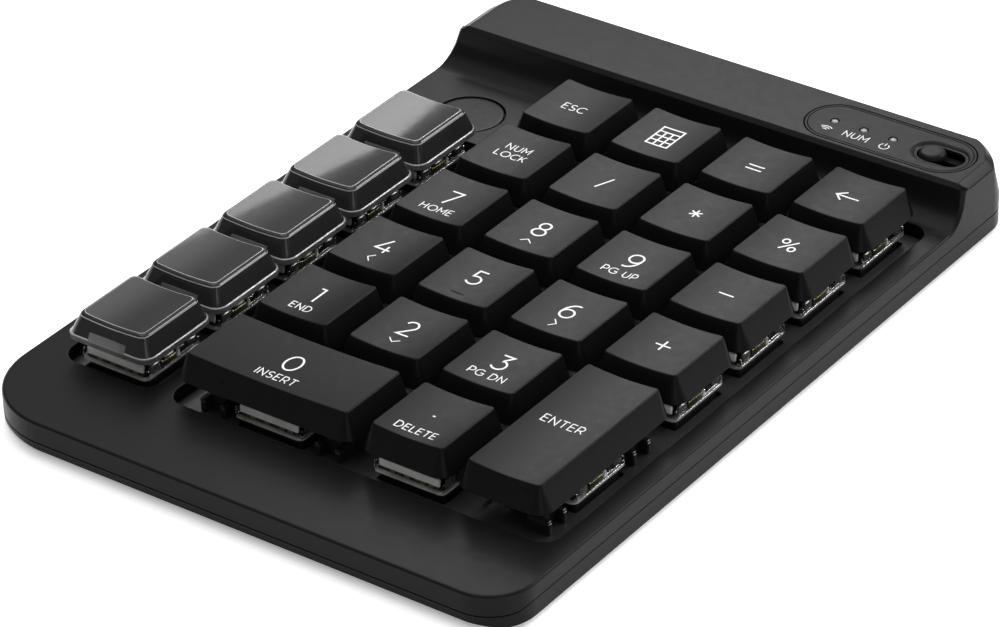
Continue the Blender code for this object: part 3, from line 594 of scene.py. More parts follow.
# keycaps
TOP_Z = 15.6
DISH_BLACK, DISH_CLEAR = 0.42, 0.40
SIDE_TILT = 23         # the sides lean back by this many degrees
BLACK_OUTER = ((1.96, 1.67, 2.8, 10.82, 0, -60), (2.05, 1.76, 2.9, 10.94, 0, 21),
               (0.25, 0.22, 0.62, None, 0.25, SIDE_TILT), (0.18, 0.16, 0.58, None, 0.11, 42),
               (0.07, 0.06, 0.54, None, 0.03, 64), (-0.06, -0.06, 0.5, None, 0, 84))
BLACK_INNER = ((1.1, 0.8, 1.6, 10.82, 0, -30), (1.03, 0.73, 1.6, 10.95, 0, -18),
               (-0.5, -0.75, 0.6, 14.1, 0, -24), (-0.8, -1, 0.5, 14.3, 0, -60))
CLEAR_OUTER = ((2, 1.7, 2.3, 10.85, 0, -60), (2.143, 1.85, 2.4, 11, 0, 0), (2.143, 1.85, 2.4, 11.75, 0, 0),
               (2, 1.72, 2.3, 11.9, 0, 50), (1.8, 1.55, 2.2, 12, 0, 25),
               (0.4, 0.34, 1.3, None, 0.62, SIDE_TILT), (0.32, 0.27, 1.25, None, 0.46, 35),
               (0.06, 0.05, 1.15, None, 0.16, 55), (-0.28, -0.25, 1, None, 0.03, 78),
               (-0.4, -0.37, 0.95, None, 0, 86))
CLEAR_INNER = ((0.98, 0.68, 1.2, 10.9, 0, -30), (0.9, 0.6, 1.2, 11.05, 0, -18),
               (-1, -1.05, 0.7, 13.6, 0, -24), (-1.4, -1.4, 0.5, 13.95, 0, -60))
# first ring, last ring + 1, and material of each band of a clear cap: the dark painted-shade copy of the clear
# plastic on the flat bands, lighter painted-highlight copies on the rims and the lip
CLEAR_BANDS = ((0, 2, 2), (1, 4, 3), (3, 5, 2), (4, 6, 0), (5, 7, 2), (6, 9, 0), (8, 10, 2))
WINDOW = ((-2.01, 10.95), (-2, 11.8), (-1.73, 12.03), (-1.2, 13.1))


def dish(u, deep):
    """Height of the top across the cap, u from -1 at its left edge to 1 at its right edge."""
    return TOP_Z - deep * (1 - min(1, u * u))


def cap_rings(shape, cx, cy, hx, hy, levels, deep, across):
    """Rings of a tapered cap. A level is (grow x, grow y, radius, z or None, drop below the dish, tilt)."""
    rings = []
    for gx, gy, r, z, drop, tilt in levels:
        stations, places = rounded(cx, cy, hx + gx, hy + gy, r, 5, across), []
        for x, y, _, _ in stations:
            top = dish((x - cx) / (hx + 0.001), deep) - drop
            places.append((x, y + (0.12 if z is None else -0.12), top if z is None else z))
        rings.append(shape.ring(places, [tilted(nx, ny, tilt) for *_, nx, ny in stations]))
    return rings


def close_top(shape, ring, cx, hx, deep):
    """Closes a cap ring with strips running front to back, shaded by the slope of the dish."""
    for i in ring:
        shape.normals[i] = Vector((-2 * deep * (shape.points[i].x - cx) / hx / hx, 0, 1)).normalized()
    half = len(ring) // 2
    front, back = ring[:half], ring[half:][::-1]
    for i in range(half - 1):
        shape.face([front[i], front[i + 1], back[i + 1], back[i]])


def make_keycap(node, glassy):
    lo, hi = (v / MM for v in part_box(node))
    cx, cy = (lo.x + hi.x) / 2, (lo.y + hi.y) / 2
    hx, hy = (hi.x - lo.x) / 2 - 2.143, (hi.y - lo.y) / 2 - 1.85
    if glassy:
        deep, outer, inner, slot = DISH_CLEAR, CLEAR_OUTER, CLEAR_INNER, "keycap_clear"
    else:
        deep, outer, inner, slot = DISH_BLACK, BLACK_OUTER, BLACK_INNER, "keycap_black"
    across = 12 if hx < 8 else 24
    shape = Shape()
    rings = cap_rings(shape, cx, cy, hx, hy, outer, deep, across)
    close_top(shape, rings[-1], cx, hx, deep)
    hollow = cap_rings(shape, cx, cy, hx, hy, inner, deep, across)
    for first, last, material in CLEAR_BANDS if glassy else ((0, len(rings), 0),):
        shape.loft(rings[first:last], material)
    shape.loft([rings[0], hollow[0]], 1 if glassy else 0)
    shape.loft(hollow)
    shape.face(hollow[-1])
    materials = [CAP_SHADED_FACE, CAP_EDGE, CAP_RIM_HIGHLIGHT, CAP_LIP_LIGHT] if glassy else [KEYCAP]
    shape.make(node + "_cap", materials, node, [node], slot)
    if glassy:          # the clear window moulded into the front of the skirt
        window = Shape()
        front = cy - hy
        window.solid([window.ring([(x, front + y, z) for y, z in WINDOW] +
                                  [(x, front + y + 0.3, z) for y, z in WINDOW[::-1]])
                      for x in (cx - 3.9, cx + 3.9)])
        # the window takes the lip's lighter, painted-light copy of the clear plastic
        window.make(node + "_window", [CAP_LIP_LIGHT], node, slot=slot, sharp=25)
    # stem: a collar, a square slider and its shoulders
    stem = Shape()
    roof = inner[-1][3]
    block(stem, (cx - 2.7, cy - 2.7, 9.2), (cx + 2.7, cy + 2.7, 12.2), 0.3, r=0.6, steps=3)
    block(stem, (cx - 3, cy - 1.2, 9.2), (cx + 3, cy + 1.2, 11.4), 0.2)
    lathe(stem, cx, cy, ((2.5, 12, 0), (2.6, 12.1, 0), (2.6, roof - 0.1, 0), (2.5, roof, 0)), 24)
    stem.make(node + "_stem", [STEM], node, [node], "keycap_clear", sharp=35)
    return cx, cy, hx, deep


# legends
def arc(cx, cy, rx, ry, first, last, steps=14):
    return [(cx + rx * cos(radians(first + (last - first) * i / steps)),
             cy + ry * sin(radians(first + (last - first) * i / steps))) for i in range(steps + 1)]


# Strokes on a cell 1 high; each entry is the advance width and its strokes.
GLYPHS = {
    "0": (0.78, [arc(0.39, 0.5, 0.35, 0.5, 90, 450, 36)]),
    "1": (0.36, [[(0.02, 1), (0.24, 1), (0.24, 0)]]),
    "2": (0.62, [arc(0.29, 0.72, 0.27, 0.28, 165, -38, 18) + [(0.03, 0), (0.6, 0)]]),
    "3": (0.64, [[(0.05, 1), (0.55, 1), (0.27, 0.62)] + arc(0.27, 0.31, 0.31, 0.31, 90, -150, 20)]),
    "4": (0.74, [[(0.44, 1), (0.02, 0.24), (0.72, 0.24)], [(0.53, 0.52), (0.53, 0)]]),
    "5": (0.62, [[(0.54, 1), (0.13, 1), (0.09, 0.56), (0.24, 0.59)] + arc(0.27, 0.3, 0.31, 0.3, 88, -150, 20)]),
    "6": (0.66, [arc(0.52, 0.33, 0.49, 0.67, 80, 180, 12), arc(0.33, 0.31, 0.3, 0.31, 0, 360, 30)]),
    "7": (0.6, [[(0, 1), (0.58, 1), (0.14, 0)]]),
    "8": (0.66, [arc(0.33, 0.76, 0.24, 0.24, 0, 360, 26), arc(0.33, 0.26, 0.3, 0.26, 0, 360, 28)]),
    "9": (0.66, [arc(0.14, 0.67, 0.49, 0.67, -100, 0, 12), arc(0.33, 0.69, 0.3, 0.31, 0, 360, 30)]),
    "A": (0.8, [[(0.02, 0), (0.4, 1), (0.78, 0)], [(0.15, 0.3), (0.65, 0.3)]]),
    "C": (0.8, [arc(0.5, 0.5, 0.48, 0.5, 48, 312, 24)]),
    "D": (0.8, [[(0.3, 0), (0.06, 0), (0.06, 1), (0.3, 1)] + arc(0.3, 0.5, 0.46, 0.5, 90, -90, 20)]),
    "E": (0.6, [[(0.57, 1), (0.06, 1), (0.06, 0), (0.57, 0)], [(0.06, 0.52), (0.52, 0.52)]]),
    "G": (0.92, [arc(0.5, 0.5, 0.48, 0.5, 48, 322, 24) + [(0.89, 0.47), (0.54, 0.47)]]),
    "H": (0.76, [[(0.06, 0), (0.06, 1)], [(0.7, 0), (0.7, 1)], [(0.06, 0.52), (0.7, 0.52)]]),
    "I": (0.14, [[(0.07, 0), (0.07, 1)]]),
    "K": (0.68, [[(0.06, 0), (0.06, 1)], [(0.62, 1), (0.06, 0.36)], [(0.26, 0.58), (0.66, 0)]]),
    "L": (0.54, [[(0.06, 1), (0.06, 0), (0.54, 0)]]),
    "M": (0.92, [[(0.06, 0), (0.06, 1), (0.46, 0.34), (0.86, 1), (0.86, 0)]]),
    "N": (0.78, [[(0.06, 0), (0.06, 1), (0.72, 0), (0.72, 1)]]),
    "O": (1, [arc(0.5, 0.5, 0.47, 0.5, 0, 360, 36)]),
    "P": (0.66, [[(0.06, 0), (0.06, 1), (0.34, 1)] + arc(0.34, 0.69, 0.29, 0.31, 90, -90, 16) + [(0.06, 0.38)]]),
    "R": (0.7, [[(0.06, 0), (0.06, 1), (0.34, 1)] + arc(0.34, 0.7, 0.29, 0.3, 90, -90, 16) + [(0.06, 0.4)],
                 [(0.38, 0.4), (0.66, 0)]]),
    "S": (0.64, [arc(0.32, 0.74, 0.26, 0.26, 35, 262, 16) + arc(0.32, 0.25, 0.28, 0.25, 82, -145, 16)]),
    "T": (0.68, [[(0.01, 1), (0.67, 1)], [(0.34, 1), (0.34, 0)]]),
    "U": (0.76, [[(0.06, 1), (0.06, 0.34)] + arc(0.38, 0.34, 0.32, 0.34, 180, 360, 16) + [(0.7, 1)]]),
    " ": (0.3, []),
}


def write(text, cx, cy, size, gap=0.2):
    """Strokes of a word of that cap height, centred on a point."""
    width = sum(GLYPHS[c][0] for c in text) + gap * (len(text) - 1)
    x, strokes = -width / 2, []
    for c in text:
        strokes += [[(cx + (x + p) * size, cy + (q - 0.5) * size) for p, q in line] for line in GLYPHS[c][1]]
        x += GLYPHS[c][0] + gap
    return strokes


def ribbon(shape, line, width, level):
    """A flat printed line with mitred corners, laid on the surface under it and raised a hair above it."""
    loop = hypot(line[0][0] - line[-1][0], line[0][1] - line[-1][1]) < 1e-6
    points = []
    for a, b in zip(line, line[1:]):
        parts = max(1, int(hypot(b[0] - a[0], b[1] - a[1]) / 0.8))
        points += [(a[0] + (b[0] - a[0]) * i / parts, a[1] + (b[1] - a[1]) * i / parts) for i in range(parts)]
    if not loop:
        points.append(line[-1])
    count, left, right = len(points), [], []
    for i, (x, y) in enumerate(points):
        before = points[i - 1] if i or loop else None
        after = points[(i + 1) % count] if i < count - 1 or loop else None
        ways = []
        for a, b in ((before, (x, y)), ((x, y), after)):
            if a and b:
                d = hypot(b[0] - a[0], b[1] - a[1]) or 1
                ways.append(((b[0] - a[0]) / d, (b[1] - a[1]) / d))
        tx, ty = sum(w[0] for w in ways), sum(w[1] for w in ways)
        d = hypot(tx, ty) or 1
        nx, ny = -ty / d, tx / d
        spread = width / 2 / max(0.35, abs(nx * -ways[0][1] + ny * ways[0][0]))
        left.append((x + nx * spread, y + ny * spread))
        right.append((x - nx * spread, y - ny * spread))
    rings = [[shape.point((x, y, level(x, y) + rise)) for x, y in side]
             for side, rise in ((left, -0.03), (left, 0.012), (right, 0.012), (right, -0.03))]
    shape.loft([list(r) + ([r[0]] if loop else []) for r in rings], closed=False)
    if not loop:
        for end in (0, -1):
            shape.face([r[end] for r in rings])


def legend(name, strokes, width, level, body, slot="keycap_black"):
    shape = Shape()
    for line in strokes:
        ribbon(shape, line, width, level)
    shape.make(name, [PRINT], body, slot=slot, sharp=30)


def shift(lines, cx, cy, size=1):
    return [[(cx + x * size, cy + y * size) for x, y in line] for line in lines]


ICONS = {
    "key_calculator": [[(-2.1, -3.3), (2.3, -3.3), (2.3, 2.9), (-2.1, 2.9), (-2.1, -3.3)],
                       *([(-2.1, y), (2.3, y)] for y in (1.4, -0.2, -1.75)),
                       *([(x, 1.4), (x, -3.3)] for x in (-0.63, 0.83))],
    "key_equals": [[(-1.6, 0.2), (1.6, 0.2)], [(-1.6, -1.05), (1.6, -1.05)]],
    "key_backspace": [[(2, -0.2), (-2.35, -0.2)], [(-0.9, 1.2), (-2.4, -0.2), (-0.9, -1.6)]],
    "key_divide": [[(0.85, 1.9), (-0.75, -2)]],
    "key_multiply": [[(0, 1.2), (0, -1.2)], [(-1.04, 0.6), (1.04, -0.6)], [(-1.04, -0.6), (1.04, 0.6)]],
    "key_percent": [[(1.1, 1.5), (-1.25, -1.75)], arc(-1.1, 0.85, 0.62, 0.7, 0, 360, 18),
                    arc(1, -1.05, 0.62, 0.7, 0, 360, 18)],
    "key_minus": [[(-1.65, -0.1), (1.25, -0.1)]],
    "key_plus": [[(-1.6, 0), (1.3, 0)], [(-0.15, 1.45), (-0.15, -1.5)]],
    "key_decimal": [[(-0.24, 0.3), (0.24, 0.3)]],
}
CHEVRONS = {"key_8": [(-1.1, -0.45), (0, 0.5), (1.1, -0.45)], "key_2": [(-1.1, 0.55), (0, -0.4), (1.1, 0.55)],
            "key_4": [(0.45, -1.1), (-0.5, 0), (0.45, 1.1)], "key_6": [(-0.5, -1.1), (0.45, 0), (-0.5, 1.1)]}
WORDS = {       # word, place and cap height
    "key_escape": [("ESC", -0.35, -0.4, 1.9)],
    "key_num_lock": [("NUM", -0.1, 1.35, 1.75), ("LOCK", -0.1, -1.35, 1.75)],
    "key_enter": [("ENTER", -0.3, 0.25, 1.95)], "key_0": [("INSERT", 0, -4.4, 1.78)],
    "key_1": [("END", -0.25, -4.15, 1.65)], "key_3": [("PG DN", -0.1, -4.1, 1.7)],
    "key_7": [("HOME", -0.1, -4.15, 1.7)], "key_9": [("PG UP", 0, -4.1, 1.7)],
    "key_decimal": [("DELETE", 0, -4.6, 1.65)],
}
DIGIT_SIZE, DIGIT_STROKE, SIGN_STROKE, WORD_STROKE, PANEL_STROKE = 4.25, 0.36, 0.32, 0.2, 0.17


def make_legends(node, cx, cy, hx, deep):
    def level(x, y):
        return dish((x - cx) / hx, deep)

    strokes, fine = [], []
    digit = node[4:] if len(node) == 5 else None
    if digit:
        strokes += write(digit, cx, cy + (0.4 if digit == "5" else 0.25), DIGIT_SIZE)
    strokes += shift(ICONS.get(node, []), cx, cy)
    for word, x, y, size in WORDS.get(node, []):
        fine += write(word, cx + x, cy + y, size)
    if node in CHEVRONS:
        fine += shift([CHEVRONS[node]], cx - 0.15, cy - 4.1)
    if strokes:
        legend(node + "_sign", strokes, DIGIT_STROKE if digit else SIGN_STROKE, level, node)
    if fine:
        legend(node + "_word", fine, WORD_STROKE, level, node)
    if node == "key_5":
        shape = Shape()
        top = level(cx, cy)
        block(shape, (cx - 1.5, cy - 5.5, top - 0.3), (cx + 1.5, cy - 5, top + 0.08), 0.2, steps=4)
        shape.make("key_5_homing_bar", [KEYCAP], node, slot="keycap_black", sharp=50)


# switches
def make_switches(places):
    """Clear housings with frosted ribs, contact leaves and springs, all on the grey plate. The front and back
    bars are painted lighter as lit, the side ribs darker as painted shade.
    """
    clear_part, frost, leaf, spring = Shape(), Shape(), Shape(), Shape()
    # clip part through the plate, flange, body, and the tapered upper housing with its open mouth
    clip = rounded(0, 0, 6.3, 6.3, 0.5, 5)
    flange = rounded(0, 0, 7.05, 7.4, 1.1, 5)
    lower = rounded(0, 0, 6.6, 6.6, 0.7, 5)
    upper = rounded(0, 0, 5.5, 5.5, 0.8, 5)
    mouth = rounded(0, 0, 3.45, 3.45, 0.5, 5)
    levels = ((clip, 0.1, 3.85), (clip, 0, 4), (clip, 0, 6.35), (flange, 0.15, 6.4), (flange, 0, 6.5),
              (flange, 0, 6.85), (flange, 0.15, 7), (lower, -0.1, 7.05), (lower, 0, 7.15),
              (lower, 0, 8.3), (lower, 0.25, 8.55), (upper, -0.35, 9), (upper, 0, 10.5),
              (upper, 0.2, 10.7), (mouth, -0.15, 10.7), (mouth, 0, 10.5), (mouth, 0, 4.4))
    rings = [clear_part.ring(inset(*level)[0]) for level in levels]
    # the clip below the flange takes the black plastic instead of the clear one: painted shade under the flange
    clear_part.loft(rings[:4], 1)
    clear_part.loft(rings[3:])
    clear_part.face(rings[0], 1)
    clear_part.face(rings[-1])
    for side in (-1, 1):
        for y in (-6.7, -2.9, 1.5, 6.5):          # gussets and corner posts
            block(clear_part, (side * 6.8 - 0.25, y - 0.22, 6.9), (side * 6.8 + 0.25, y + 0.22, 8.35), 0.1)
        # side ribs, in the darker painted-shade copy of the housing plastic
        for y0, y1, z0 in ((-6, -3.7, 7.4), (3.7, 6, 7.7), (-2.4, 0.3, 8.1)):
            block(frost, (side * 6.7 - 0.3, y0, z0), (side * 6.7 + 0.3, y1, 8.9), 0.15, slot=1)
        wedge = [frost.point((side * x, y, z)) for outer in ((7.1, 6.95), (6.5, 6.5))
                 for x, y, z in ((outer[0], 0.9, 7.3), (outer[0], 1.8, 7.3), (outer[1], 1.35, 8.7))]
        for corners in ((0, 1, 2), (3, 4, 5), (0, 1, 4, 3), (1, 2, 5, 4), (2, 0, 3, 5)):
            frost.face([wedge[c] for c in corners])
        # front and back bars, in the frosted plastic painted lighter as lit
        block(frost, (-6, side * 6.68 - 0.3, 7.6), (6, side * 6.68 + 0.3, 9), 0.12)
        block(leaf, (side * 6.85 - 0.1, -2.5, 7.1), (side * 6.85 + 0.1, 0.6, 8.2), 0.04)
        block(leaf, (side * 6.9 - 0.12, -3.2, 7), (side * 6.9 + 0.12, -2.75, 8.4), 0.04)
        for x in (-3.4, -0.6, 2.6, 4.3):
            block(leaf, (x - 0.5, side * 6.8 - 0.15, 7.1), (x + 0.5, side * 6.8 + 0.15, 7.4), 0.04)
    frost.stack(flange, ((0.2, 6.4), (-0.03, 6.52), (-0.03, 6.8), (0.5, 7.02)), 2)
    turns, steps, coil, wire, low, tall = 3, 14, 1.9, 0.16, 4.65, 1.3
    rings = []
    for i in range(turns * steps + 1):
        a = 2 * pi * i / steps
        x, y, z = coil * cos(a), coil * sin(a), low + tall * i / (turns * steps)
        rings.append(spring.ring([(x + wire * cos(b) * cos(a), y + wire * cos(b) * sin(a), z + wire * sin(b))
                                  for b in (2 * pi * k / 6 for k in range(6))]))
    spring.solid(rings)
    for shape, name, materials, slot, sharp in (
            (clear_part, "housings", [HOUSING, BLOCK_AND_SHADE], "plate_grey", 32),
            (frost, "ribs", [FROST_LIT, RIB_SHADE, FLANGE], "plate_grey", 35),
            (leaf, "contacts", [BRASS], "steel", 35),
            (spring, "springs", [STEEL], "steel", None)):
        shape.make("switch_" + name, materials, "case", ["switch_plate"], slot, sharp, places)


def make_plate(places):
    shape = Shape()
    rings = shape.stack(rounded(0, -2.2, 51.2, 58.8, 1, 5),
                        ((0.08, PLATE_LOW), (0, 3.88), (0, 4.62), (0.08, PLATE_TOP)))
    holes = [shape.stack(rounded(x, y, 6.9, 6.9, 0.4, 3), ((0, PLATE_LOW), (0, 4.64), (-0.06, PLATE_TOP)))
             for x, y, _ in places]
    shape.skin(shape.at(rings[-1]), [shape.at(hole[-1]) for hole in holes], [], flat(PLATE_TOP))
    shape.skin(shape.at(rings[0]), [shape.at(hole[0]) for hole in holes], [], flat(PLATE_LOW, -1))
    shape.make("switch_plate_sheet", [PLATE], "case", ["switch_plate"], "plate_grey", sharp=35)
    shape = Shape()
    for x, y, hx, hy in STABILISERS:
        for end in (-1, 1):
            if hx > hy:
                lo, hi = (x + end * 2.05 - 0.55, y - hy), (x + end * 2.05 + 0.55, y + hy)
            else:
                lo, hi = (x - hx, y + end * 2.05 - 0.55), (x + hx, y + end * 2.05 + 0.55)
            block(shape, (*lo, PLATE_TOP), (*hi, 6.9), 0.2, r=0.3, steps=3)
            block(shape, (*lo, 6.8), (hi[0] - 0.1, hi[1] - 0.1, 7.3), 0.1, r=0.2, steps=3)
        lo, hi = ((x - 1.7, y - 0.6), (x + 1.7, y + hy)) if hx > hy else ((x - hx, y - 1.7), (x + 0.6, y + 1.7))
        block(shape, (*lo, PLATE_TOP), (*hi, 7.9), 0.25, r=0.4, steps=3)
    shape.make("stabiliser_blocks", [BLOCK_AND_SHADE], "case", ["switch_plate"], "plate_grey", sharp=35)


# control panel
def make_panel():
    shape, base = Shape(), 14.0
    rings = shape.stack(rounded(PANEL_X, PANEL_Y, 16.77, 6.02, 6.02, 24), (
        (0.06, base, -90), (0, 14.06, 0), (0, 14.26, 0), (0.03, 14.35, 45), (0.1, BAR, 90), (0.38, BAR, 90),
        (0.42, 14.34, 40), (0.46, 14.2, 10), (0.56, 14.2, -10), (0.6, 14.34, 50), (0.66, BAR, 90)))
    lips = shape.stack(rounded(45.45, PANEL_Y, 4.55, 2.75, 2.75, 14), (
        (-1.25, BAR, 90), (-0.95, 14.34, 72), (-0.6, 14.14, 52), (-0.25, 13.8, 35), (0, 13.4, 8)), facing=-1)
    tops, lows = [shape.at(lips[0])], [shape.at(lips[-1])]
    for x in LIGHTS:
        made = [shape.ring(*inset(disc(x, PANEL_Y, r, 24), 0, z, t)) for r, z, t in
                ((0.92, BAR, 90), (0.86, 14.34, 45), (0.86, base, 0))]
        shape.loft(made)
        tops.append(shape.at(made[0]))
        lows.append(shape.at(made[-1]))
    shape.skin(shape.at(rings[-1]), tops, [], flat(BAR))
    shape.skin(shape.at(rings[0]), lows, [], flat(base, -1))
    shape.make("control_panel_insert", [PANEL], "case", ["control_panel"], "panel_black")
    for k, x in enumerate(LIGHTS):
        pipe = Shape()
        lathe(pipe, x, PANEL_Y,
              ((0.6, 13.3, -90), (0.65, 13.35, 0), (0.65, 14.22, 0), (0.58, 14.32, 45), (0.3, 14.38, 80)), 24)
        pipe.make(f"light_pipe_{k + 1}_dot", [PIPE], "case", [f"light_pipe_{k + 1}"], "light_pipe")
    knob = Shape()
    x, y = 43.7, PANEL_Y
    lathe(knob, x, y, ((1.9, 12.9, -90), (2, 13, -20), (2, 13.6, 0), (2.45, 13.68, -60),
                       (2.55, 13.78, 0), (2.5, 14, 18), (2.3, 14.36, 34), (2.14, 14.56, 50),
                       (1.96, 14.64, 68), (1.75, 14.68, 85), (0.9, 14.7, 90)))
    block(knob, (x - 0.6, y - 0.6, 11.3), (x + 0.6, y + 0.6, 13), 0.1)
    knob.make("power_slider_knob", [PANEL], "power_slider", ["power_slider"], "panel_black")

    radio = [arc(0, 0, r, r, 45, 135, 8) for r in (0.5, 0.95, 1.4)]
    strokes = shift(radio, LIGHTS[0], PANEL_Y - 3.9, 1.15) + write("NUM", LIGHTS[1] + 0.05, PANEL_Y - 2.8, 1.75)
    power = [arc(0, 0, 0.9, 0.9, 125, 415, 22), [(0, 1.15), (0, 0.2)]]
    strokes += shift(power, LIGHTS[2], PANEL_Y - 3.05)
    legend("panel_legends", strokes, PANEL_STROKE, lambda x, y: BAR, "case", "panel_black")


def make_badge():
    shape = Shape()
    lathe(shape, BADGE_X, BADGE_Y, ((6.2, 6.8, -90), (6.3, 6.9, 0), (6.3, 7.05, 0), (6.26, 7.14, 40),
                                    (6.12, 7.2, 85), (5.6, 7.2, 90), (5.5, 7.17, 90), (3, 7.17, 90)), 64)
    shape.make("badge_disc", [BADGE], "case", ["badge"], "panel_black")


# underside
def make_underside():
    for node in ("foot_front_left", "foot_front_right", "foot_rear_left", "foot_rear_right"):
        lo, hi = (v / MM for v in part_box(node))
        shape = Shape()
        shape.stack(rounded((lo.x + hi.x) / 2, (lo.y + hi.y) / 2, 6, 2.5, 2, 8),
                    ((0.25, 1, 90), (0, 0.9, 20), (0, 0.35, 0), (0.12, 0.1, -45), (0.45, 0, -90)),
                    closed=True)
        shape.make(node + "_pad", [RUBBER], "case", [node], "rubber")
    for x, y in sorted(SCREWS):
        shape, threads = Shape(), []
        for i in range(9):
            z = 5.5 - i * 0.42
            threads += [(0.62, z, 0), (0.8, z - 0.21, 0)]
        lathe(shape, x, y, ((0.3, 6.1, 80), (0.75, 5.7, 20), *threads, (0.62, 1.8, 0), (1.7, 1.75, 60),
                            (1.9, 1.55, 10), (1.8, 1.15, -30), (1.3, 0.98, -70), (0.85, 0.95, -90),
                            (0.7, 1.35, -90)), 20)
        name = f"screw_{'front' if y < 0 else 'rear'}_{'left' if x < 0 else 'right'}"
        shape.make(name + "_thread", [STEEL], "case", [name], "steel", sharp=40)
    shape = Shape()
    rings = shape.stack(rounded(BAY_X, 68.35, 46.35, 6.7, 1, 6),
                        ((0.1, 1.7, 90), (0, 1.6, 0), (0, 0.95, 0), (0.15, UNDER, -90)))
    shape.face(rings[0])
    loops = []
    for k in range(-4, 5):          # finger grips
        made = shape.stack(rounded(BAY_X + k * 1.6, BAY_Y, 0.45, 3, 0.4, 4), ((0, UNDER), (0.15, 1.1)))
        shape.face(made[-1])
        loops.append(shape.at(made[0]))
    shape.skin(shape.at(rings[-1]), loops, [], flat(UNDER, -1))
    shape.make("battery_door_panel", [CASE], "battery_door", ["battery_door"], "case_black")
    for k, (x0, x1) in enumerate(((-49.7, -5.4), (-4.8, 39.5))):
        shape = Shape()
        profile = ((1, x0), (4.6, x0), (5.05, x0 + 0.1), (5.25, x0 + 0.5), (5.25, x1 - 1.5), (5, x1 - 1),
                   (4.4, x1 - 0.85), (1.95, x1 - 0.8), (1.9, x1 - 0.2), (1.6, x1))
        turns = [2 * pi * i / 40 for i in range(40)]
        rings = [shape.ring([(x, BAY_Y + r * cos(a), CELL_Z + r * sin(a)) for a in turns]) for r, x in profile]
        shape.loft(rings[:5], 1)
        shape.loft(rings[4:], 0)
        shape.face(rings[0])
        shape.face(rings[-1])
        shape.make(f"cell_{k + 1}_can", [STEEL, WRAP], "case", [f"cell_{k + 1}"], "cell_wrap", sharp=40)


KEYS = sorted(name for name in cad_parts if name.startswith("key_"))
SPOTS = []
for key in KEYS:
    glassy = key.startswith("key_macro")
    cx, cy, hx, deep = make_keycap(key, glassy)
    if not glassy:
        make_legends(key, cx, cy, hx, deep)
    SPOTS.append((cx, cy, 0))
make_top_case()
make_bottom_case()
make_switches(SPOTS)
make_plate(SPOTS)
make_panel()
make_badge()
make_underside()

# the slide switch body takes the painted-shade copy of the case plastic
for material, *nodes in (
        (BOARD, "circuit_board", "indicator_board"), (SLOT_SHADE, "slide_switch_body"),
        (STEEL, "contact_spring", "contact_plate", "stabiliser_wire_0", "stabiliser_wire_enter")):
    for node in nodes:
        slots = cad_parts[node].data.materials
        if not slots:
            slots.append(material)
        for i in range(len(slots)):
            slots[i] = material


# floor, light and camera
def make_stage():
    shape = Shape()
    count, size = 24, 1500
    ticks = [(i / count - 0.5) * 2 * size for i in range(count + 1)]
    shape.loft([[shape.point((x, y, 0)) for x in ticks] for y in ticks], closed=False)
    mesh = bpy.data.meshes.new("floor")
    mesh.from_pydata([p * MM for p in shape.points], [], shape.faces)
    sockets = {"Emission Color": (1, 1, 1, 1), "Specular IOR Level": 0.1}
    paper = Nodes("floor_painted_glow", (0.86, 0.86, 0.86), 0.9, **sockets)
    # painted light: the floor is lighter and glows more near the object, a pool of light that washes out its
    # shadow, and dims further out
    away = paper.add("ShaderNodeVectorMath")
    away.operation = "LENGTH"
    paper.link(paper.where, away.inputs[0])
    far = paper.spread(away.outputs["Value"], 1, 0, (0.25, 0.9))
    paper.tint(far, (0.6, 0.6, 0.6), (0.9, 0.9, 0.9), (0, 1))
    paper.link(paper.spread(far, 0.1, 0.3, (0, 1)), paper.shader.inputs["Emission Strength"])
    mesh.materials.append(paper.material)
    floor = bpy.data.objects.new("floor", mesh)
    bpy.context.scene.collection.objects.link(floor)


def softbox(name, where, aim, size, power):
    light = bpy.data.lights.new(name, "AREA")
    light.shape, light.size, light.size_y = "RECTANGLE", size[0] * MM, size[1] * MM
    light.energy, light.spread = power, pi
    obj = bpy.data.objects.new(name, light)
    obj.location = Vector(where) * MM
    obj.rotation_mode = "QUATERNION"
    obj.rotation_quaternion = (Vector(aim) - Vector(where)).to_track_quat("-Z", "Y")
    bpy.context.scene.collection.objects.link(obj)


make_stage()
softbox("overhead", (-60, -150, 860), (0, 0, 0), (900, 900), 6)
softbox("back_left", (-125, 225, 180), (-30, 30, 10), (150, 90), 0.2)
softbox("back_right", (420, 545, 400), (0, 0, 10), (240, 200), 2.4)
softbox("right_front", (460, -350, 190), (20, -20, 10), (220, 240), 0.3)

world = bpy.data.worlds.new("studio")
bpy.context.scene.world = world
world.use_nodes = True
tree = world.node_tree


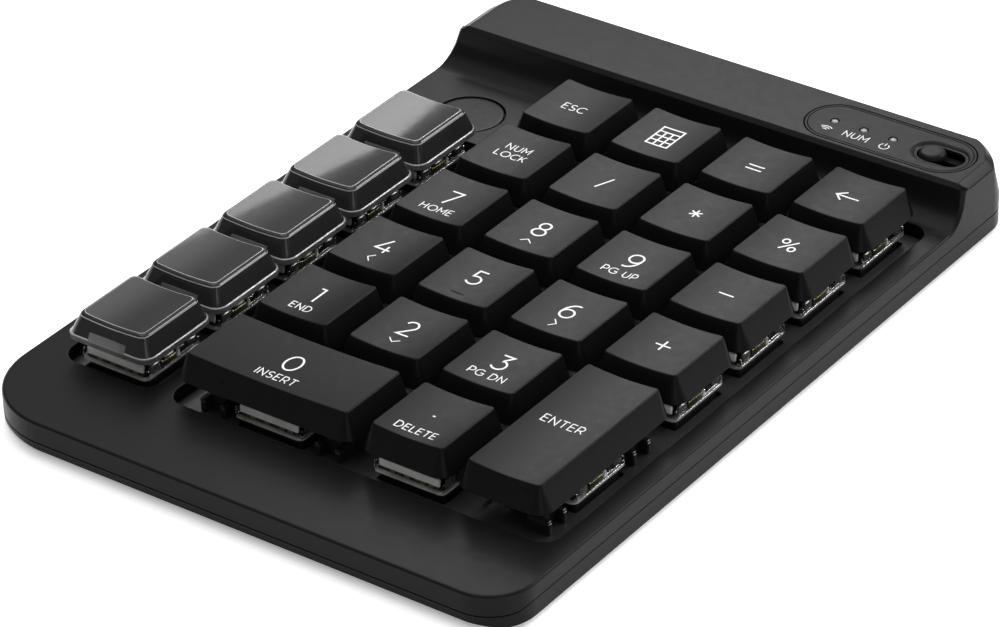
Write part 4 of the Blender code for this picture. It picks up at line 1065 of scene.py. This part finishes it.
def world_range(source, low, high, to_low, to_high):
    node = tree.nodes.new("ShaderNodeMapRange")
    node.interpolation_type = "SMOOTHSTEP"
    for key, value in zip(("From Min", "From Max", "To Min", "To Max"), (low, high, to_low, to_high)):
        node.inputs[key].default_value = value
    tree.links.new(source, node.inputs["Value"])
    return node.outputs["Result"]


def world_math(kind, a, b):
    node = tree.nodes.new("ShaderNodeMath")
    node.operation = kind
    for socket, value in zip(node.inputs, (a, b)):
        if isinstance(value, float):
            socket.default_value = value
        else:
            tree.links.new(value, socket)
    return node.outputs["Value"]


split = tree.nodes.new("ShaderNodeSeparateXYZ")
tree.links.new(tree.nodes.new("ShaderNodeTexCoord").outputs["Generated"], split.inputs["Vector"])
horizon = world_range(split.outputs["Z"], 0, 0.05, 0.25, 0)
behind = world_range(split.outputs["Y"], -0.35, 0.3, 0, 1)
sideways = world_math("MULTIPLY", world_range(split.outputs["X"], -0.62, -0.44, 0.3, 2.2),
                      world_range(split.outputs["X"], -0.44, -0.33, 1, 0.5))
raised = world_range(split.outputs["Z"], 0.1, 0.45, 0, 1)
dome = world_math("ADD", world_math("MULTIPLY", world_math("MULTIPLY", behind, raised), sideways), 0.3)
tree.links.new(world_math("MAXIMUM", horizon, dome), tree.nodes["Background"].inputs["Strength"])
tree.nodes["Background"].inputs["Color"].default_value = (1, 1, 1, 1)
bpy.context.scene.view_settings.view_transform = "Standard"


def make_camera():
    azimuth, elevation, roll = radians(36.537), radians(32.021), radians(-1.714)
    target, distance = Vector((12.531, -18.577, 15.6)), 789.728
    back = Vector((sin(azimuth) * cos(elevation), -cos(azimuth) * cos(elevation), sin(elevation)))
    across = Vector((cos(azimuth), sin(azimuth), 0))
    upward = back.cross(across)
    x_axis, y_axis = across * cos(roll) + upward * sin(roll), upward * cos(roll) - across * sin(roll)
    camera = bpy.data.cameras.new("camera")
    camera.lens, camera.sensor_width, camera.clip_start, camera.clip_end = 171.21, 36, 0.05, 10.0
    viewer = bpy.data.objects.new("camera", camera)
    viewer.location = (target + back * distance) * MM
    viewer.rotation_mode = "QUATERNION"
    viewer.rotation_quaternion = Matrix((x_axis, y_axis, back)).transposed().to_quaternion()
    bpy.context.scene.collection.objects.link(viewer)
    bpy.context.scene.camera = viewer


make_camera()
